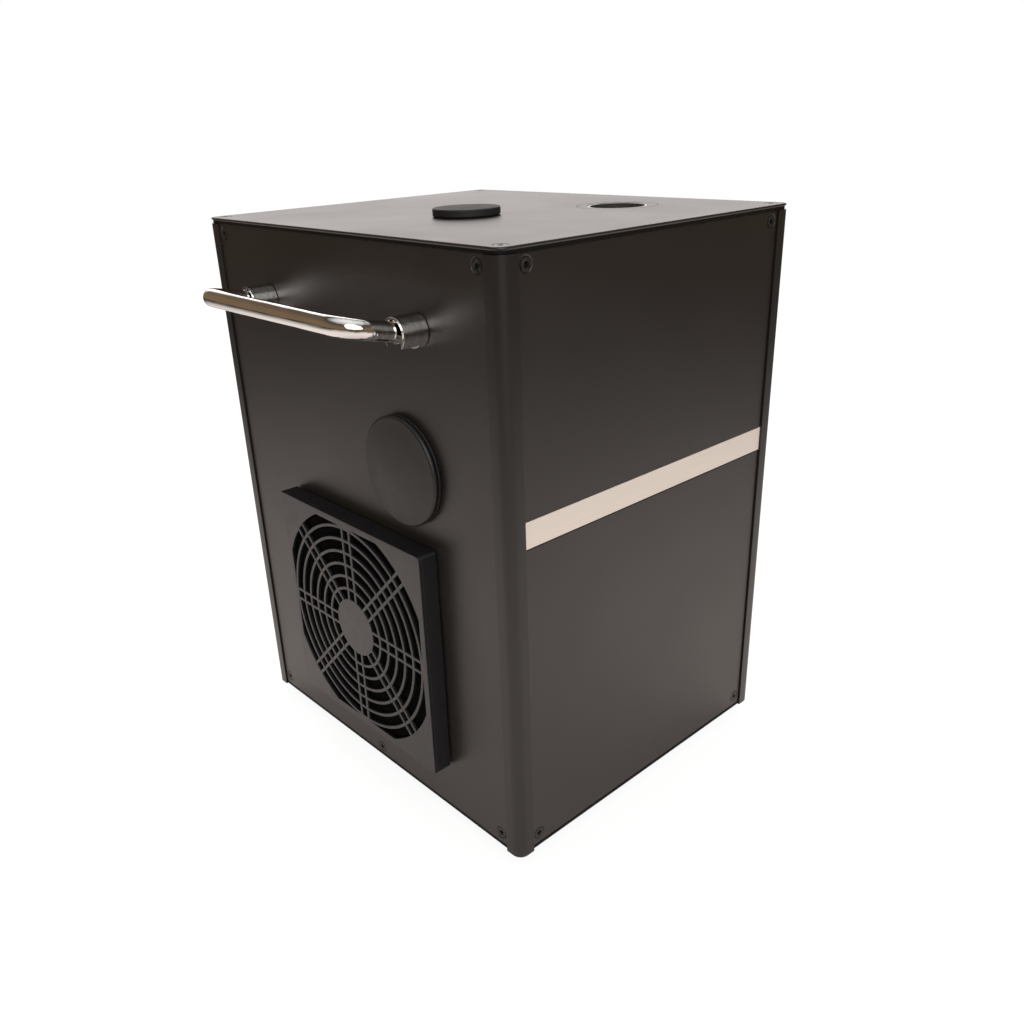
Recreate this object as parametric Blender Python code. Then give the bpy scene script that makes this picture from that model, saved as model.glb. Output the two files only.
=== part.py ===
"""Cold spark machine: a stage effect that blows glowing metal granules up out of a nozzle.

Metres, +Z up. The cabinet's front looks along -Y, its fan side along -X, and it stands on
z = 0. Shapes are written in the cabinet's own frame, whose z axis runs up its middle.
"""

import math

import bmesh
import bpy
from mathutils import Matrix, Vector

# Clearances
FIT = 0.0003
SLOT_PLAY = 0.0006

# Cabinet
CABINET_WIDTH = 0.198
CABINET_DEPTH = 0.235
BODY_HEIGHT = 0.2955
FOOT_HEIGHT = 0.007
CORNER_RADIUS = 0.0053
TOP_PLATE_THICKNESS = 0.003
TOP_PLATE_CHAMFER = 0.0005
BOTTOM_PLATE_THICKNESS = 0.0016
BOTTOM_PLATE_INSET = 0.001
PANEL_THICKNESS = 0.002
PANEL_RECESS = 0.001
PANEL_TOP_GAP = 0.0005
PANEL_BOTTOM_GAP = 0.0003
POST_FACE = 0.0098
POST_FLANGE = 0.0107
POST_FLANGE_THICKNESS = 0.003
POST_CHANNEL_INSET = 0.007
POST_CHANNEL_RADIUS = 0.0014
POST_CHANNEL_DEPTH = 0.014

# Countersunk panel screws, whose holes are cut here
SCREW_INSET = 0.01465
SCREW_TOP_DROP = 0.0078
SCREW_BOTTOM_RISE = 0.008
SCREW_MIDDLE_RISE = 0.0063
SCREW_SINK_RADIUS = 0.0035
SCREW_HOLE_RADIUS = 0.0016
SCREW_TAP_RADIUS = 0.0013
SCREW_TAP_DEPTH = 0.011

# Blocks on the bottom plate that the lower panel screws enter
BLOCK_SIZE = 0.0154
BLOCK_HEIGHT = 0.012
MIDDLE_BLOCK_WIDTH = 0.02
MIDDLE_BLOCK_DEPTH = 0.012

# Push-in rubber feet
FOOT_RADIUS = 0.0085
FOOT_EDGE = 0.001
FOOT_INSET = 0.028
FOOT_STEM_RADIUS = 0.003
FOOT_STEM_LENGTH = 0.005

# Stripe let into the front panel
STRIPE_HEIGHT = 0.0128
STRIPE_CENTRE_RISE = 0.1739
STRIPE_THICKNESS = 0.0006
STRIPE_GROOVE = 0.0008

# Fold-down handles
HANDLE_DROP = 0.0375
HANDLE_SPAN = 0.1245
HANDLE_CENTRE_Y = -0.001
BOSS_RADIUS = 0.0075
BOSS_LENGTH = 0.0133
BOSS_WALL = 0.0013
BOSS_FLOOR = 0.0036
BOSS_STUD_RADIUS = 0.003
BOSS_STUD_LENGTH = 0.006
PIVOT_PLAY = 0.00035
PIN_RADIUS = 0.0015
BAR_RADIUS = 0.00435
BAR_REACH = 0.0371
BAR_BEND_RADIUS = 0.012
BAR_SIDES = 10
HANDLE_LIFT = 12.7

# Fan, its filter and its snap-on guard, on the left panel
FAN_CENTRE_Y = -0.0034
FAN_CENTRE_RISE = 0.092
FAN_SIZE = 0.119
FAN_THICKNESS = 0.025
FAN_DUCT_WALL = 0.002
FAN_CORNER_RADIUS = 0.006
FAN_SCREW_INSET = 0.007
FAN_SCREW_HOLE_RADIUS = 0.0022
FAN_MOUNT_RADIUS = 0.021
FAN_MOUNT_THICKNESS = 0.0035
FAN_STRUT_WIDTH = 0.006
FAN_HUB_RADIUS = 0.02
FAN_HUB_DEPTH = 0.018
FAN_HUB_EDGE = 0.001
FAN_TIP_GAP = 0.0015
FAN_BLADE_THICKNESS = 0.0018
FAN_BLADE_RISE = 0.0135
FAN_BLADE_ROOT = 0.002
FAN_BLADE_SWEEP = 34
FAN_BLADES = 7
FAN_SHAFT_RADIUS = 0.0016
GUARD_OVERHANG = 0.0025
GUARD_DEPTH = 0.0112
GUARD_WALL = 0.002
GUARD_FACE = 0.002
GUARD_RIM = 0.0037
GUARD_CORNER_REACH = 0.00565
GUARD_DISC_RADIUS = 0.0163
GUARD_RINGS = 6
GUARD_RING_FIRST = 0.0225
GUARD_RING_WIDTH = 0.0018
GUARD_RING_LAP = 0.00035
GUARD_BAR_OFFSET = 0.0031
GUARD_BAR_WIDTH = 0.0018
GUARD_BASE_THICKNESS = 0.002
GUARD_BASE_LIP = 0.001
FILTER_CLEARANCE = 0.00175

# Side port with its push-on cap, in line with the feed screw
PORT_FROM_FRONT = 0.072
PORT_RISE = 0.1895
PORT_HOLE_RADIUS = 0.022
PORT_TUBE_WALL = 0.0022
PORT_TUBE_LENGTH = 0.008
PORT_COLLAR_THICKNESS = 0.001
PORT_CAP_RADIUS = 0.027
PORT_CAP_THICKNESS = 0.0031
PORT_CAP_CROWN = 0.0006
PORT_CAP_EDGE = 0.0009
PORT_PLUG_LENGTH = 0.007

# Filler cap and hopper
FILLER_FROM_LEFT = 0.0755
FILLER_FROM_FRONT = 0.1065
FILLER_CAP_RADIUS = 0.017
FILLER_CAP_THICKNESS = 0.0037
FILLER_CAP_CROWN = 0.0005
FILLER_CAP_EDGE = 0.0007
FILLER_PLUG_RADIUS = 0.0127
FILLER_PLUG_LENGTH = 0.010
FILLER_TUBE_WALL = 0.0017
FILLER_TUBE_LENGTH = 0.0145
FILLER_FLANGE_RADIUS = 0.019
FILLER_FLANGE_THICKNESS = 0.003
HOPPER_RADIUS = 0.033
HOPPER_RIM = 0.004
HOPPER_RIM_THICKNESS = 0.002
HOPPER_WALL = 0.0015
HOPPER_STRAIGHT = 0.030
HOPPER_SPOUT_RADIUS = 0.0072
HOPPER_SPOUT_LENGTH = 0.016

# Nozzle and heating core
NOZZLE_FROM_RIGHT = 0.0485
NOZZLE_BORE_RADIUS = 0.0128
NOZZLE_WALL = 0.0027
NOZZLE_LIP = 0.001
NOZZLE_CHAMFER_DEPTH = 0.0022
NOZZLE_SINK = 0.0002
NOZZLE_FLANGE_RADIUS = 0.0209
NOZZLE_SEAT_RADIUS = 0.026
NOZZLE_SEAT_THICKNESS = 0.003
CORE_FLANGE_RADIUS = 0.020
CORE_FLANGE_THICKNESS = 0.003
CORE_WALL = 0.0024
CORE_FOOT_RADIUS = 0.022
CORE_FOOT_RISE = 0.1433
CORE_LENGTH = 0.1089
SLEEVE_THICKNESS = 0.0065
SLEEVE_RISE = 0.004
COIL_WIRE_RADIUS = 0.002
COIL_TURNS = 5
COIL_PITCH = 0.0075
COIL_LEAD = 0.012

# Feed screw, its tube and its gear motor
FEED_TUBE_RADIUS = 0.0085
FEED_TUBE_WALL = 0.0018
FEED_SCREW_PLAY = 0.0005
FEED_SHAFT_RADIUS = 0.0022
FEED_PITCH = 0.014
FEED_FLIGHT_THICKNESS = 0.0014
FEED_PLATE_FROM_LEFT = 0.0592
FEED_PLATE_THICKNESS = 0.003
FEED_PLATE_HEIGHT = 0.045
FEED_PLATE_REACH = 0.0205
FEED_PLATE_FLANGE = 0.023
GEARBOX_RADIUS = 0.0185
GEARBOX_LENGTH = 0.022
MOTOR_RADIUS = 0.0175
MOTOR_LENGTH = 0.024
MOTOR_BORE_DEPTH = 0.011

# Blower under the heating core
BLOWER_RISE = 0.081
BLOWER_TONGUE_GAP = 0.004
BLOWER_OUTLET_GAP = 0.010
BLOWER_OUTLET_WIDTH = 0.026
BLOWER_WIDTH = 0.032
BLOWER_WALL = 0.002
BLOWER_INLET_RADIUS = 0.020
BLOWER_BOSS_RADIUS = 0.009
BLOWER_BOSS_LENGTH = 0.007
IMPELLER_RADIUS = 0.030
IMPELLER_EYE_RADIUS = 0.021
IMPELLER_END_GAP = 0.004
IMPELLER_LEAN = 29
IMPELLER_BLADES = 9
IMPELLER_SHEET = 0.0016
IMPELLER_HUB_RADIUS = 0.006
IMPELLER_SHAFT_RADIUS = 0.002
BRACKET_THICKNESS = 0.003
BRACKET_LEFT_REACH = 0.0775
BRACKET_RIGHT_REACH = 0.0225
BRACKET_DEPTH = 0.068
BRACKET_FOOT = 0.015

# Control module on the rear panel
BEZEL_WIDTH = 0.090
BEZEL_HEIGHT = 0.050
BEZEL_THICKNESS = 0.002
BEZEL_DROP = 0.0575
BEZEL_CORNER_RADIUS = 0.003
BEZEL_CUTOUT_MARGIN = 0.005
WINDOW_WIDTH = 0.052
WINDOW_HEIGHT = 0.018
WINDOW_THICKNESS = 0.0012
WINDOW_TOP_MARGIN = 0.007
DIGITS_MARGIN = 0.002
DIGITS_DROP = 0.001
BUTTON_RADIUS = 0.0043
BUTTON_PROUD = 0.0017
BUTTON_LIP_RADIUS = 0.0055
BUTTON_LIP_THICKNESS = 0.0012
BUTTON_STEM_RADIUS = 0.0018
BUTTON_PITCH = 0.0175
BUTTON_BOTTOM_MARGIN = 0.0125
BUTTON_TRAVEL = 0.001
BUTTONS = 4
DISPLAY_BOARD_OVERLAP = 0.003
DISPLAY_BOARD_THICKNESS = 0.0016
DISPLAY_BOARD_DEPTH = 0.011
DISPLAY_POST_RADIUS = 0.003
DISPLAY_POST_INSET = 0.004
TACT_SWITCH_WIDTH = 0.006
TACT_SWITCH_HEIGHT = 0.0033

# Power switch and sockets along the foot of the rear panel
SOCKET_RISE = 0.047
SWITCH_FROM_SIDE = 0.028
SWITCH_WIDTH = 0.015
SWITCH_HEIGHT = 0.021
SWITCH_DEPTH = 0.014
SWITCH_RIM = 0.0015
SWITCH_WALL = 0.001
SWITCH_WELL_DEPTH = 0.008
ROCKER_TILT = 7
ROCKER_AXLE_RADIUS = 0.0012
ROCKER_AXLE_DEPTH = 0.0035
ROCKER_AXLE_INSET = 0.0004
ROCKER_END_GAP = 0.0012
ROCKER_SKIRT = 0.001
ROCKER_CREST = 0.001
ROCKER_DISH = 0.0004
INLET_FROM_SIDE = 0.063
INLET_WIDTH = 0.048
INLET_HEIGHT = 0.026
INLET_DEPTH = 0.024
INLET_BODY_WIDTH = 0.027
INLET_BODY_MARGIN = 0.003
INLET_WALL = 0.0015
INLET_CAVITY_DEPTH = 0.016
INLET_PIN_PITCH = 0.007
INLET_PIN_OFFSET = 0.002
INLET_PIN_WIDTH = 0.002
INLET_PIN_HEIGHT = 0.004
INLET_PIN_DROP = 0.004
INLET_SCREW_PITCH = 0.039
SIGNAL_INPUT_FROM_SIDE = 0.070
SIGNAL_OUTPUT_FROM_SIDE = 0.040
SIGNAL_WIDTH = 0.026
SIGNAL_HEIGHT = 0.031
SIGNAL_RADIUS = 0.0115
SIGNAL_CAVITY_RADIUS = 0.0093
SIGNAL_CAVITY_DEPTH = 0.014
SIGNAL_DEPTH = 0.018
SIGNAL_GROOVE = 0.0012
SIGNAL_PIN_CIRCLE = 0.0058
SIGNAL_PIN_RADIUS = 0.0012
SIGNAL_PIN_PLAY = 0.0002
SIGNAL_PIN_DROP = 0.003
SIGNAL_SCREW_ACROSS = 0.0095
SIGNAL_SCREW_RISE = 0.012
SOCKET_FLANGE = 0.002
SOCKET_CORNER_RADIUS = 0.003

# Electronics
SUPPLY_WIDTH = 0.0427
SUPPLY_DEPTH = 0.080
SUPPLY_POST_GAP = 0.002
SUPPLY_RISE = 0.078
SUPPLY_HEIGHT = 0.140
SUPPLY_LEDGE = 0.012
TERMINAL_MARGIN = 0.010
TERMINAL_SETBACK = 0.006
TERMINAL_DROP = 0.010
BOARD_CENTRE_X = -0.012
BOARD_FROM_REAR = 0.0275
BOARD_WIDTH = 0.090
BOARD_DEPTH = 0.072
BOARD_THICKNESS = 0.0016
BOARD_STANDOFF = 0.006
STANDOFF_RADIUS = 0.003
STANDOFF_INSET = 0.004
COMPONENT_MARGIN = 0.007
CAPACITOR_RADIUS = 0.0065
CAPACITOR_HEIGHT = 0.022
CAPACITOR_PITCH = 0.016
CAPACITORS = 3
RELAY_SIZE = 0.018
RELAY_HEIGHT = 0.015
RELAY_PITCH = 0.024
RELAYS = 2
SINK_WIDTH = 0.040
SINK_DEPTH = 0.024
SINK_BASE = 0.004
FIN_THICKNESS = 0.0015
FIN_HEIGHT = 0.018
FIN_PITCH = 0.009
FINS = 5

# Vent slots in the right panel
VENT_ROWS = 6
VENT_PITCH = 0.012
VENT_LENGTH = 0.055
VENT_HEIGHT = 0.005
VENT_RISE = 0.040
VENT_COLUMN_GAP = 0.015

# Levels and places worked out from the sizes above
HALF_WIDTH = CABINET_WIDTH / 2
HALF_DEPTH = CABINET_DEPTH / 2
BASE_Z = FOOT_HEIGHT
TOP_Z = BASE_Z + BODY_HEIGHT
TOP_UNDERSIDE_Z = TOP_Z - TOP_PLATE_THICKNESS
PLATE_BOTTOM_Z = BASE_Z + FIT
PLATE_TOP_Z = PLATE_BOTTOM_Z + BOTTOM_PLATE_THICKNESS
PANEL_BOTTOM_Z = PLATE_TOP_Z + PANEL_BOTTOM_GAP
PANEL_TOP_Z = TOP_UNDERSIDE_Z - PANEL_TOP_GAP
FLANGE_SEAT = PANEL_RECESS + PANEL_THICKNESS + FIT
FLANGE_BACK = FLANGE_SEAT + POST_FLANGE_THICKNESS
SCREW_TOP_Z = TOP_Z - SCREW_TOP_DROP
SCREW_BOTTOM_Z = BASE_Z + SCREW_BOTTOM_RISE
SCREW_MIDDLE_Z = BASE_Z + SCREW_MIDDLE_RISE
HANDLE_Z = TOP_Z - HANDLE_DROP
PIVOT_REACH = BOSS_FLOOR + BAR_RADIUS + PIVOT_PLAY
FAN_Z = BASE_Z + FAN_CENTRE_RISE
FAN_DUCT_RADIUS = FAN_SIZE / 2 - FAN_DUCT_WALL
GUARD_SIZE = FAN_SIZE + 2 * GUARD_OVERHANG
GUARD_OPENING = GUARD_SIZE - 2 * GUARD_RIM
GUARD_LAST_RADIUS = GUARD_OPENING / 2 + GUARD_RING_LAP
GUARD_OPENING_RADIUS = GUARD_LAST_RADIUS + GUARD_CORNER_REACH
PORT_Z = BASE_Z + PORT_RISE
PORT_Y = PORT_FROM_FRONT - HALF_DEPTH
FILLER_X = FILLER_FROM_LEFT - HALF_WIDTH
FILLER_Y = FILLER_FROM_FRONT - HALF_DEPTH
NOZZLE_X = HALF_WIDTH - NOZZLE_FROM_RIGHT
NOZZLE_Y = PORT_Y
NOZZLE_RADIUS = NOZZLE_BORE_RADIUS + NOZZLE_WALL
CORE_RADIUS = NOZZLE_BORE_RADIUS + CORE_WALL
CORE_BOTTOM_Z = BASE_Z + CORE_FOOT_RISE
CORE_TOP_Z = CORE_BOTTOM_Z + CORE_LENGTH
NOZZLE_LENGTH = TOP_Z - CORE_TOP_Z - FIT
SLEEVE_RADIUS = CORE_RADIUS + SLEEVE_THICKNESS
FEED_PLATE_X = FEED_PLATE_FROM_LEFT - HALF_WIDTH
FEED_TUBE_BORE_RADIUS = FEED_TUBE_RADIUS - FEED_TUBE_WALL
FEED_SCREW_RADIUS = FEED_TUBE_BORE_RADIUS - FEED_SCREW_PLAY
BRACKET_TOP_Z = CORE_BOTTOM_Z - FIT
BRACKET_FOOT_Z = PLATE_TOP_Z + FIT
BRACKET_LEFT_X = NOZZLE_X - BRACKET_LEFT_REACH
BRACKET_RIGHT_X = NOZZLE_X + BRACKET_RIGHT_REACH
BLOWER_TONGUE_RADIUS = IMPELLER_RADIUS + BLOWER_TONGUE_GAP
BLOWER_OUTLET_RADIUS = IMPELLER_RADIUS + BLOWER_OUTLET_GAP
BLOWER_X = NOZZLE_X - BLOWER_OUTLET_RADIUS + BLOWER_OUTLET_WIDTH / 2
BLOWER_Z = BASE_Z + BLOWER_RISE
IMPELLER_WIDTH = BLOWER_WIDTH - 2 * BLOWER_WALL - IMPELLER_END_GAP
BEZEL_Z = TOP_Z - BEZEL_DROP
WINDOW_OFFSET = (BEZEL_HEIGHT - WINDOW_HEIGHT) / 2 - WINDOW_TOP_MARGIN
BUTTON_OFFSET = BUTTON_BOTTOM_MARGIN - BEZEL_HEIGHT / 2
SOCKET_Z = BASE_Z + SOCKET_RISE
REAR_REACH = FIT + BEZEL_THICKNESS + BUTTON_PROUD - PANEL_RECESS
CABINET_SHIFT_Y = -REAR_REACH / 2


def clear_scene():
    for thing in list(bpy.data.objects):
        bpy.data.objects.remove(thing)


def surface(name, colour, roughness, metallic=0.0):
    """One finish: the name of a part, its linear colour, its roughness and its metallic value."""
    finish = bpy.data.materials.new(name)
    finish.use_nodes = True
    shader = finish.node_tree.nodes["Principled BSDF"]
    shader.inputs["Base Color"].default_value = (*colour, 1.0)
    shader.inputs["Roughness"].default_value = roughness
    shader.inputs["Metallic"].default_value = metallic
    return finish


BLACK_PAINT = ((0.022, 0.019, 0.017), 0.42, 0.3)
BLACK_PLASTIC = ((0.018, 0.018, 0.019), 0.5, 0.0)
SATIN_BLACK = ((0.012, 0.012, 0.012), 0.35, 0.0)
CHROME = ((0.8, 0.8, 0.8), 0.08, 1.0)
STEEL = ((0.5, 0.49, 0.47), 0.35, 1.0)
ALUMINIUM = ((0.72, 0.70, 0.66), 0.38, 1.0)
COPPER = ((0.75, 0.36, 0.2), 0.3, 1.0)
RUBBER = ((0.02, 0.02, 0.02), 0.85, 0.0)
FOAM = ((0.02, 0.02, 0.024), 0.95, 0.0)
CERAMIC_FIBRE = ((0.75, 0.72, 0.66), 0.9, 0.0)
CIRCUIT_BOARD = ((0.02, 0.11, 0.05), 0.5, 0.0)
SMOKED_WINDOW = ((0.03, 0.008, 0.006), 0.1, 0.0)

# Each face of the cabinet: its direction to the right, its up and its way out
FACES = {
    "front": ((1, 0, 0), (0, 0, 1), (0, -1, 0)),
    "left": ((0, -1, 0), (0, 0, 1), (-1, 0, 0)),
    "rear": ((-1, 0, 0), (0, 0, 1), (0, 1, 0)),
    "right": ((0, 1, 0), (0, 0, 1), (1, 0, 0)),
}


def face_frame(side):
    """Local x to the face's right, y up from the floor, z out from the panel's surface."""
    right, up, out = (Vector(direction) for direction in FACES[side])
    reach = HALF_WIDTH if out.x else HALF_DEPTH
    place = Matrix((right, up, out)).transposed().to_4x4()
    place.translation = out * (reach - PANEL_RECESS)
    return place


def panel_width(side):
    along_depth = side in ("left", "right")
    return (CABINET_DEPTH if along_depth else CABINET_WIDTH) - 2 * (POST_FACE + FIT)


def frame_along(origin, direction):
    """Local z along the direction, which is one of the axes."""
    way = Vector(direction)
    side = Vector((0, 0, 1)) if abs(way.z) < 0.5 else Vector((1, 0, 0))
    place = Matrix((side, way.cross(side), way)).transposed().to_4x4()
    place.translation = Vector(origin)
    return place


def add_box(shape, low, high):
    low, high = Vector(low), Vector(high)
    size = Matrix.Diagonal((*(high - low), 1.0))
    bmesh.ops.create_cube(shape, size=1.0, matrix=Matrix.Translation((low + high) / 2) @ size)


def add_rings(shape, rings, closed=False):
    """Skin rings of points of equal length. Open ends are capped."""
    rows = [[shape.verts.new(point) for point in ring] for ring in rings]
    count = len(rows[0])
    pairs = list(zip(rows, rows[1:]))
    if closed:
        pairs.append((rows[-1], rows[0]))
    else:
        shape.faces.new(reversed(rows[0]))
        shape.faces.new(rows[-1])
    for first, second in pairs:
        for i in range(count):
            j = (i + 1) % count
            shape.faces.new((first[i], first[j], second[j], second[i]))


def circle(radius, height, segments, centre=(0.0, 0.0)):
    steps = (2 * math.pi * i / segments for i in range(segments))
    return [
        Vector((centre[0] + radius * math.cos(a), centre[1] + radius * math.sin(a), height))
        for a in steps
    ]


def add_turned(shape, profile, segments=24, tube=False):
    """Turn (radius, height) points about local z: a solid, or with tube a closed ring."""
    add_rings(shape, [circle(r, z, segments) for r, z in profile], closed=tube)


def add_prism(shape, outline, bottom, top):
    add_rings(shape, [[Vector((a, b, z)) for a, b in outline] for z in (bottom, top)])


def rounded_rectangle(width, height, radius, segments=4):
    points = []
    for quarter, (side_x, side_y) in enumerate(((1, 1), (-1, 1), (-1, -1), (1, -1))):
        for i in range(segments + 1):
            angle = math.pi / 2 * (quarter + i / segments)
            points.append((
                side_x * (width / 2 - radius) + radius * math.cos(angle),
                side_y * (height / 2 - radius) + radius * math.sin(angle),
            ))
    return points


def add_sweep(shape, path, radii, sides):
    """A round bar along a path in one plane or on a helix, with a radius at each point."""
    rings = []
    side = None
    for i, point in enumerate(path):
        ahead = path[min(i + 1, len(path) - 1)] - path[max(i - 1, 0)]
        ahead.normalize()
        if side is None:
            side = ahead.orthogonal().normalized()
        side = (side - ahead * side.dot(ahead)).normalized()
        up = ahead.cross(side)
        turns = (2 * math.pi * k / sides for k in range(sides))
        rings.append([point + radii[i] * (side * math.cos(a) + up * math.sin(a)) for a in turns])
    add_rings(shape, rings)


def shaped(build, place=Matrix.Identity(4)):
    """A new mesh body made by build(shape) in local coordinates and set in its place."""
    shape = bmesh.new()
    build(shape)
    shape.transform(place)
    shape.normal_update()
    bmesh.ops.recalc_face_normals(shape, faces=shape.faces)
    return shape


def box_shape(low, high, place=Matrix.Identity(4)):
    return shaped(lambda shape: add_box(shape, low, high), place)


def turned_shape(profile, place, segments=24, tube=False):
    return shaped(lambda shape: add_turned(shape, profile, segments, tube), place)


def rod_shape(radius, start, end, place, segments=16):
    return turned_shape([(radius, start), (radius, end)], place, segments)


def make_piece(cabinet, name, shape, finish, joint_at=(0.0, 0.0, 0.0)):
    """One named object under the cabinet, its origin on its joint where it has one."""
    mesh = bpy.data.meshes.new(name)
    shape.transform(Matrix.Translation(-Vector(joint_at)))
    shape.to_mesh(mesh)
    shape.free()
    piece = bpy.data.objects.new(name, mesh)
    piece.location = joint_at
    piece.parent = cabinet
    mesh.materials.append(surface(name, *finish))
    mesh.shade_smooth()
    mesh.set_sharp_from_angle(angle=math.radians(35))
    bpy.context.scene.collection.objects.link(piece)
    return piece


def combine(piece, shape, operation="DIFFERENCE"):
    """Cut a shape away from a piece, or join it on, and keep the result as its mesh."""
    mesh = bpy.data.meshes.new("tool")
    shape.transform(Matrix.Translation(-piece.location))
    shape.to_mesh(mesh)
    shape.free()
    tool = bpy.data.objects.new("tool", mesh)
    tool.parent = piece
    tool.hide_render = True
    tool.display_type = "WIRE"
    bpy.context.scene.collection.objects.link(tool)
    step = piece.modifiers.new("combine", "BOOLEAN")
    step.operation = operation
    step.object = tool
    bpy.context.view_layer.update()
    result = piece.evaluated_get(bpy.context.evaluated_depsgraph_get())
    finished = bpy.data.meshes.new_from_object(result)
    piece.modifiers.clear()
    old = piece.data
    piece.data = finished
    bpy.data.objects.remove(tool)
    bpy.data.meshes.remove(mesh)
    bpy.data.meshes.remove(old)
    finished.name = piece.name
    finished.shade_smooth()
    finished.set_sharp_from_angle(angle=math.radians(35))


def join(piece, shape):
    combine(piece, shape, "UNION")


def many(shapes):
    """Several shapes that don't touch, as one cutting tool."""
    together = bmesh.new()
    for shape in shapes:
        mesh = bpy.data.meshes.new("part_of_tool")
        shape.to_mesh(mesh)
        shape.free()
        together.from_mesh(mesh)
        bpy.data.meshes.remove(mesh)
    return together


# The cabinet


def panel_screw_places(side):
    """Where the screws of one panel sit, as (right, height, enters a block)."""
    edge = (CABINET_DEPTH if side in ("left", "right") else CABINET_WIDTH) / 2 - SCREW_INSET
    places = [(u, SCREW_TOP_Z, False) for u in (-edge, edge)]
    places += [(u, SCREW_BOTTOM_Z, True) for u in (-edge, edge)]
    if side in ("left", "right"):
        places.append((0.0, SCREW_MIDDLE_Z, True))
    return places


def countersink(place, thickness):
    """A countersunk hole through a sheet, its wide end at local z = 0."""
    profile = [(SCREW_SINK_RADIUS + FIT, FIT), (SCREW_HOLE_RADIUS, -PANEL_THICKNESS - FIT)]
    if thickness > PANEL_THICKNESS:
        profile.append((SCREW_HOLE_RADIUS, -thickness - FIT))
    return turned_shape(profile, place, 12)


def make_panel(cabinet, side):
    frame = face_frame(side)
    half = panel_width(side) / 2
    low = (-half, PANEL_BOTTOM_Z, -PANEL_THICKNESS)
    high = (half, PANEL_TOP_Z, 0.0)
    panel = make_piece(cabinet, f"{side}_panel", box_shape(low, high, frame), BLACK_PAINT)
    holes = [
        countersink(frame @ Matrix.Translation((u, z, 0.0)), PANEL_THICKNESS)
        for u, z, _ in panel_screw_places(side)
    ]
    combine(panel, many(holes))
    return panel


def panel_hole(side, u, z, radius, segments=16):
    place = face_frame(side) @ Matrix.Translation((u, z, 0.0))
    return rod_shape(radius, -PANEL_THICKNESS - FIT, FIT, place, segments)


def corner_places():
    """Each corner's name, with the signs of its x and y."""
    for depth_name, sign_y in (("front", -1), ("rear", 1)):
        for width_name, sign_x in (("left", -1), ("right", 1)):
            yield f"{depth_name}_{width_name}", sign_x, sign_y


def corner_frame(sign_x, sign_y):
    """Local x and y run inwards from a corner's two outer faces, and z up."""
    place = Matrix.Diagonal((-sign_x, -sign_y, 1.0, 1.0))
    place.translation = Vector((sign_x * HALF_WIDTH, sign_y * HALF_DEPTH, 0.0))
    return place


def make_corner_post(cabinet, name, sign_x, sign_y):
    """An extruded corner: a rounded core, with two flanges that the panels lie on."""
    top = TOP_UNDERSIDE_Z - FIT
    outline = [(POST_FACE, 0.0), (POST_FACE, POST_FACE), (0.0, POST_FACE)]
    arc_steps = 6
    for i in range(arc_steps + 1):
        angle = math.pi + math.pi / 2 * i / arc_steps
        outline.append((
            CORNER_RADIUS * (1 + math.cos(angle)),
            CORNER_RADIUS * (1 + math.sin(angle)),
        ))
    frame = corner_frame(sign_x, sign_y)
    core = shaped(lambda shape: add_prism(shape, outline, BASE_Z, top), frame)
    post = make_piece(cabinet, f"corner_post_{name}", core, BLACK_PAINT)
    root = POST_FACE - POST_FLANGE_THICKNESS / 2
    tip = POST_FACE + POST_FLANGE
    flange_bottom = PLATE_TOP_Z + FIT
    flange_top = top - FIT
    for low, high in (
        ((root, FLANGE_SEAT), (tip, FLANGE_BACK)),
        ((FLANGE_SEAT, root), (FLANGE_BACK, tip)),
    ):
        join(post, box_shape((*low, flange_bottom), (*high, flange_top), frame))
    channel_place = Matrix.Translation(
        (frame @ Vector((POST_CHANNEL_INSET, POST_CHANNEL_INSET, top)))
    )
    holes = [rod_shape(POST_CHANNEL_RADIUS, -POST_CHANNEL_DEPTH, FIT, channel_place, 8)]
    for side in (width_side(sign_x), depth_side(sign_y)):
        sign = post_side(side, sign_x, sign_y)
        for u, z, _ in panel_screw_places(side):
            if u * sign > 0:
                place = face_frame(side) @ Matrix.Translation((u, z, 0.0))
                depth = FLANGE_BACK - PANEL_RECESS + FIT
                holes.append(rod_shape(SCREW_HOLE_RADIUS, -depth, -PANEL_THICKNESS, place, 6))
    combine(post, many(holes))


def width_side(sign_x):
    return "left" if sign_x < 0 else "right"


def depth_side(sign_y):
    return "front" if sign_y < 0 else "rear"


def post_side(side, sign_x, sign_y):
    """On which side of a face's middle a corner lies: -1 for its left, 1 for its right."""
    right = Vector(FACES[side][0])
    return right.x * sign_x + right.y * sign_y


def make_top_plate(cabinet):
    def build(shape):
        edge = TOP_PLATE_CHAMFER
        levels = ((0.0, TOP_UNDERSIDE_Z), (0.0, TOP_Z - edge), (edge, TOP_Z))
        rings = []
        for inset, z in levels:
            outline = rounded_rectangle(
                CABINET_WIDTH - 2 * inset, CABINET_DEPTH - 2 * inset, CORNER_RADIUS - inset, 6
            )
            rings.append([Vector((a, b, z)) for a, b in outline])
        add_rings(shape, rings)

    plate = make_piece(cabinet, "top_plate", shaped(build), BLACK_PAINT)
    through = TOP_PLATE_THICKNESS + FIT
    nozzle_place = Matrix.Translation((NOZZLE_X, NOZZLE_Y, TOP_Z))
    filler_place = Matrix.Translation((FILLER_X, FILLER_Y, TOP_Z))
    filler_radius = filler_tube_radius() + FIT
    holes = [
        rod_shape(NOZZLE_FLANGE_RADIUS + FIT, -through, FIT, nozzle_place, 28),
        rod_shape(filler_radius, -through, FIT, filler_place, 20),
    ]
    for _, sign_x, sign_y in corner_places():
        spot = corner_frame(sign_x, sign_y) @ Vector((POST_CHANNEL_INSET, POST_CHANNEL_INSET, TOP_Z))
        holes.append(countersink(Matrix.Translation(spot), TOP_PLATE_THICKNESS))
    combine(plate, many(holes))


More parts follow.
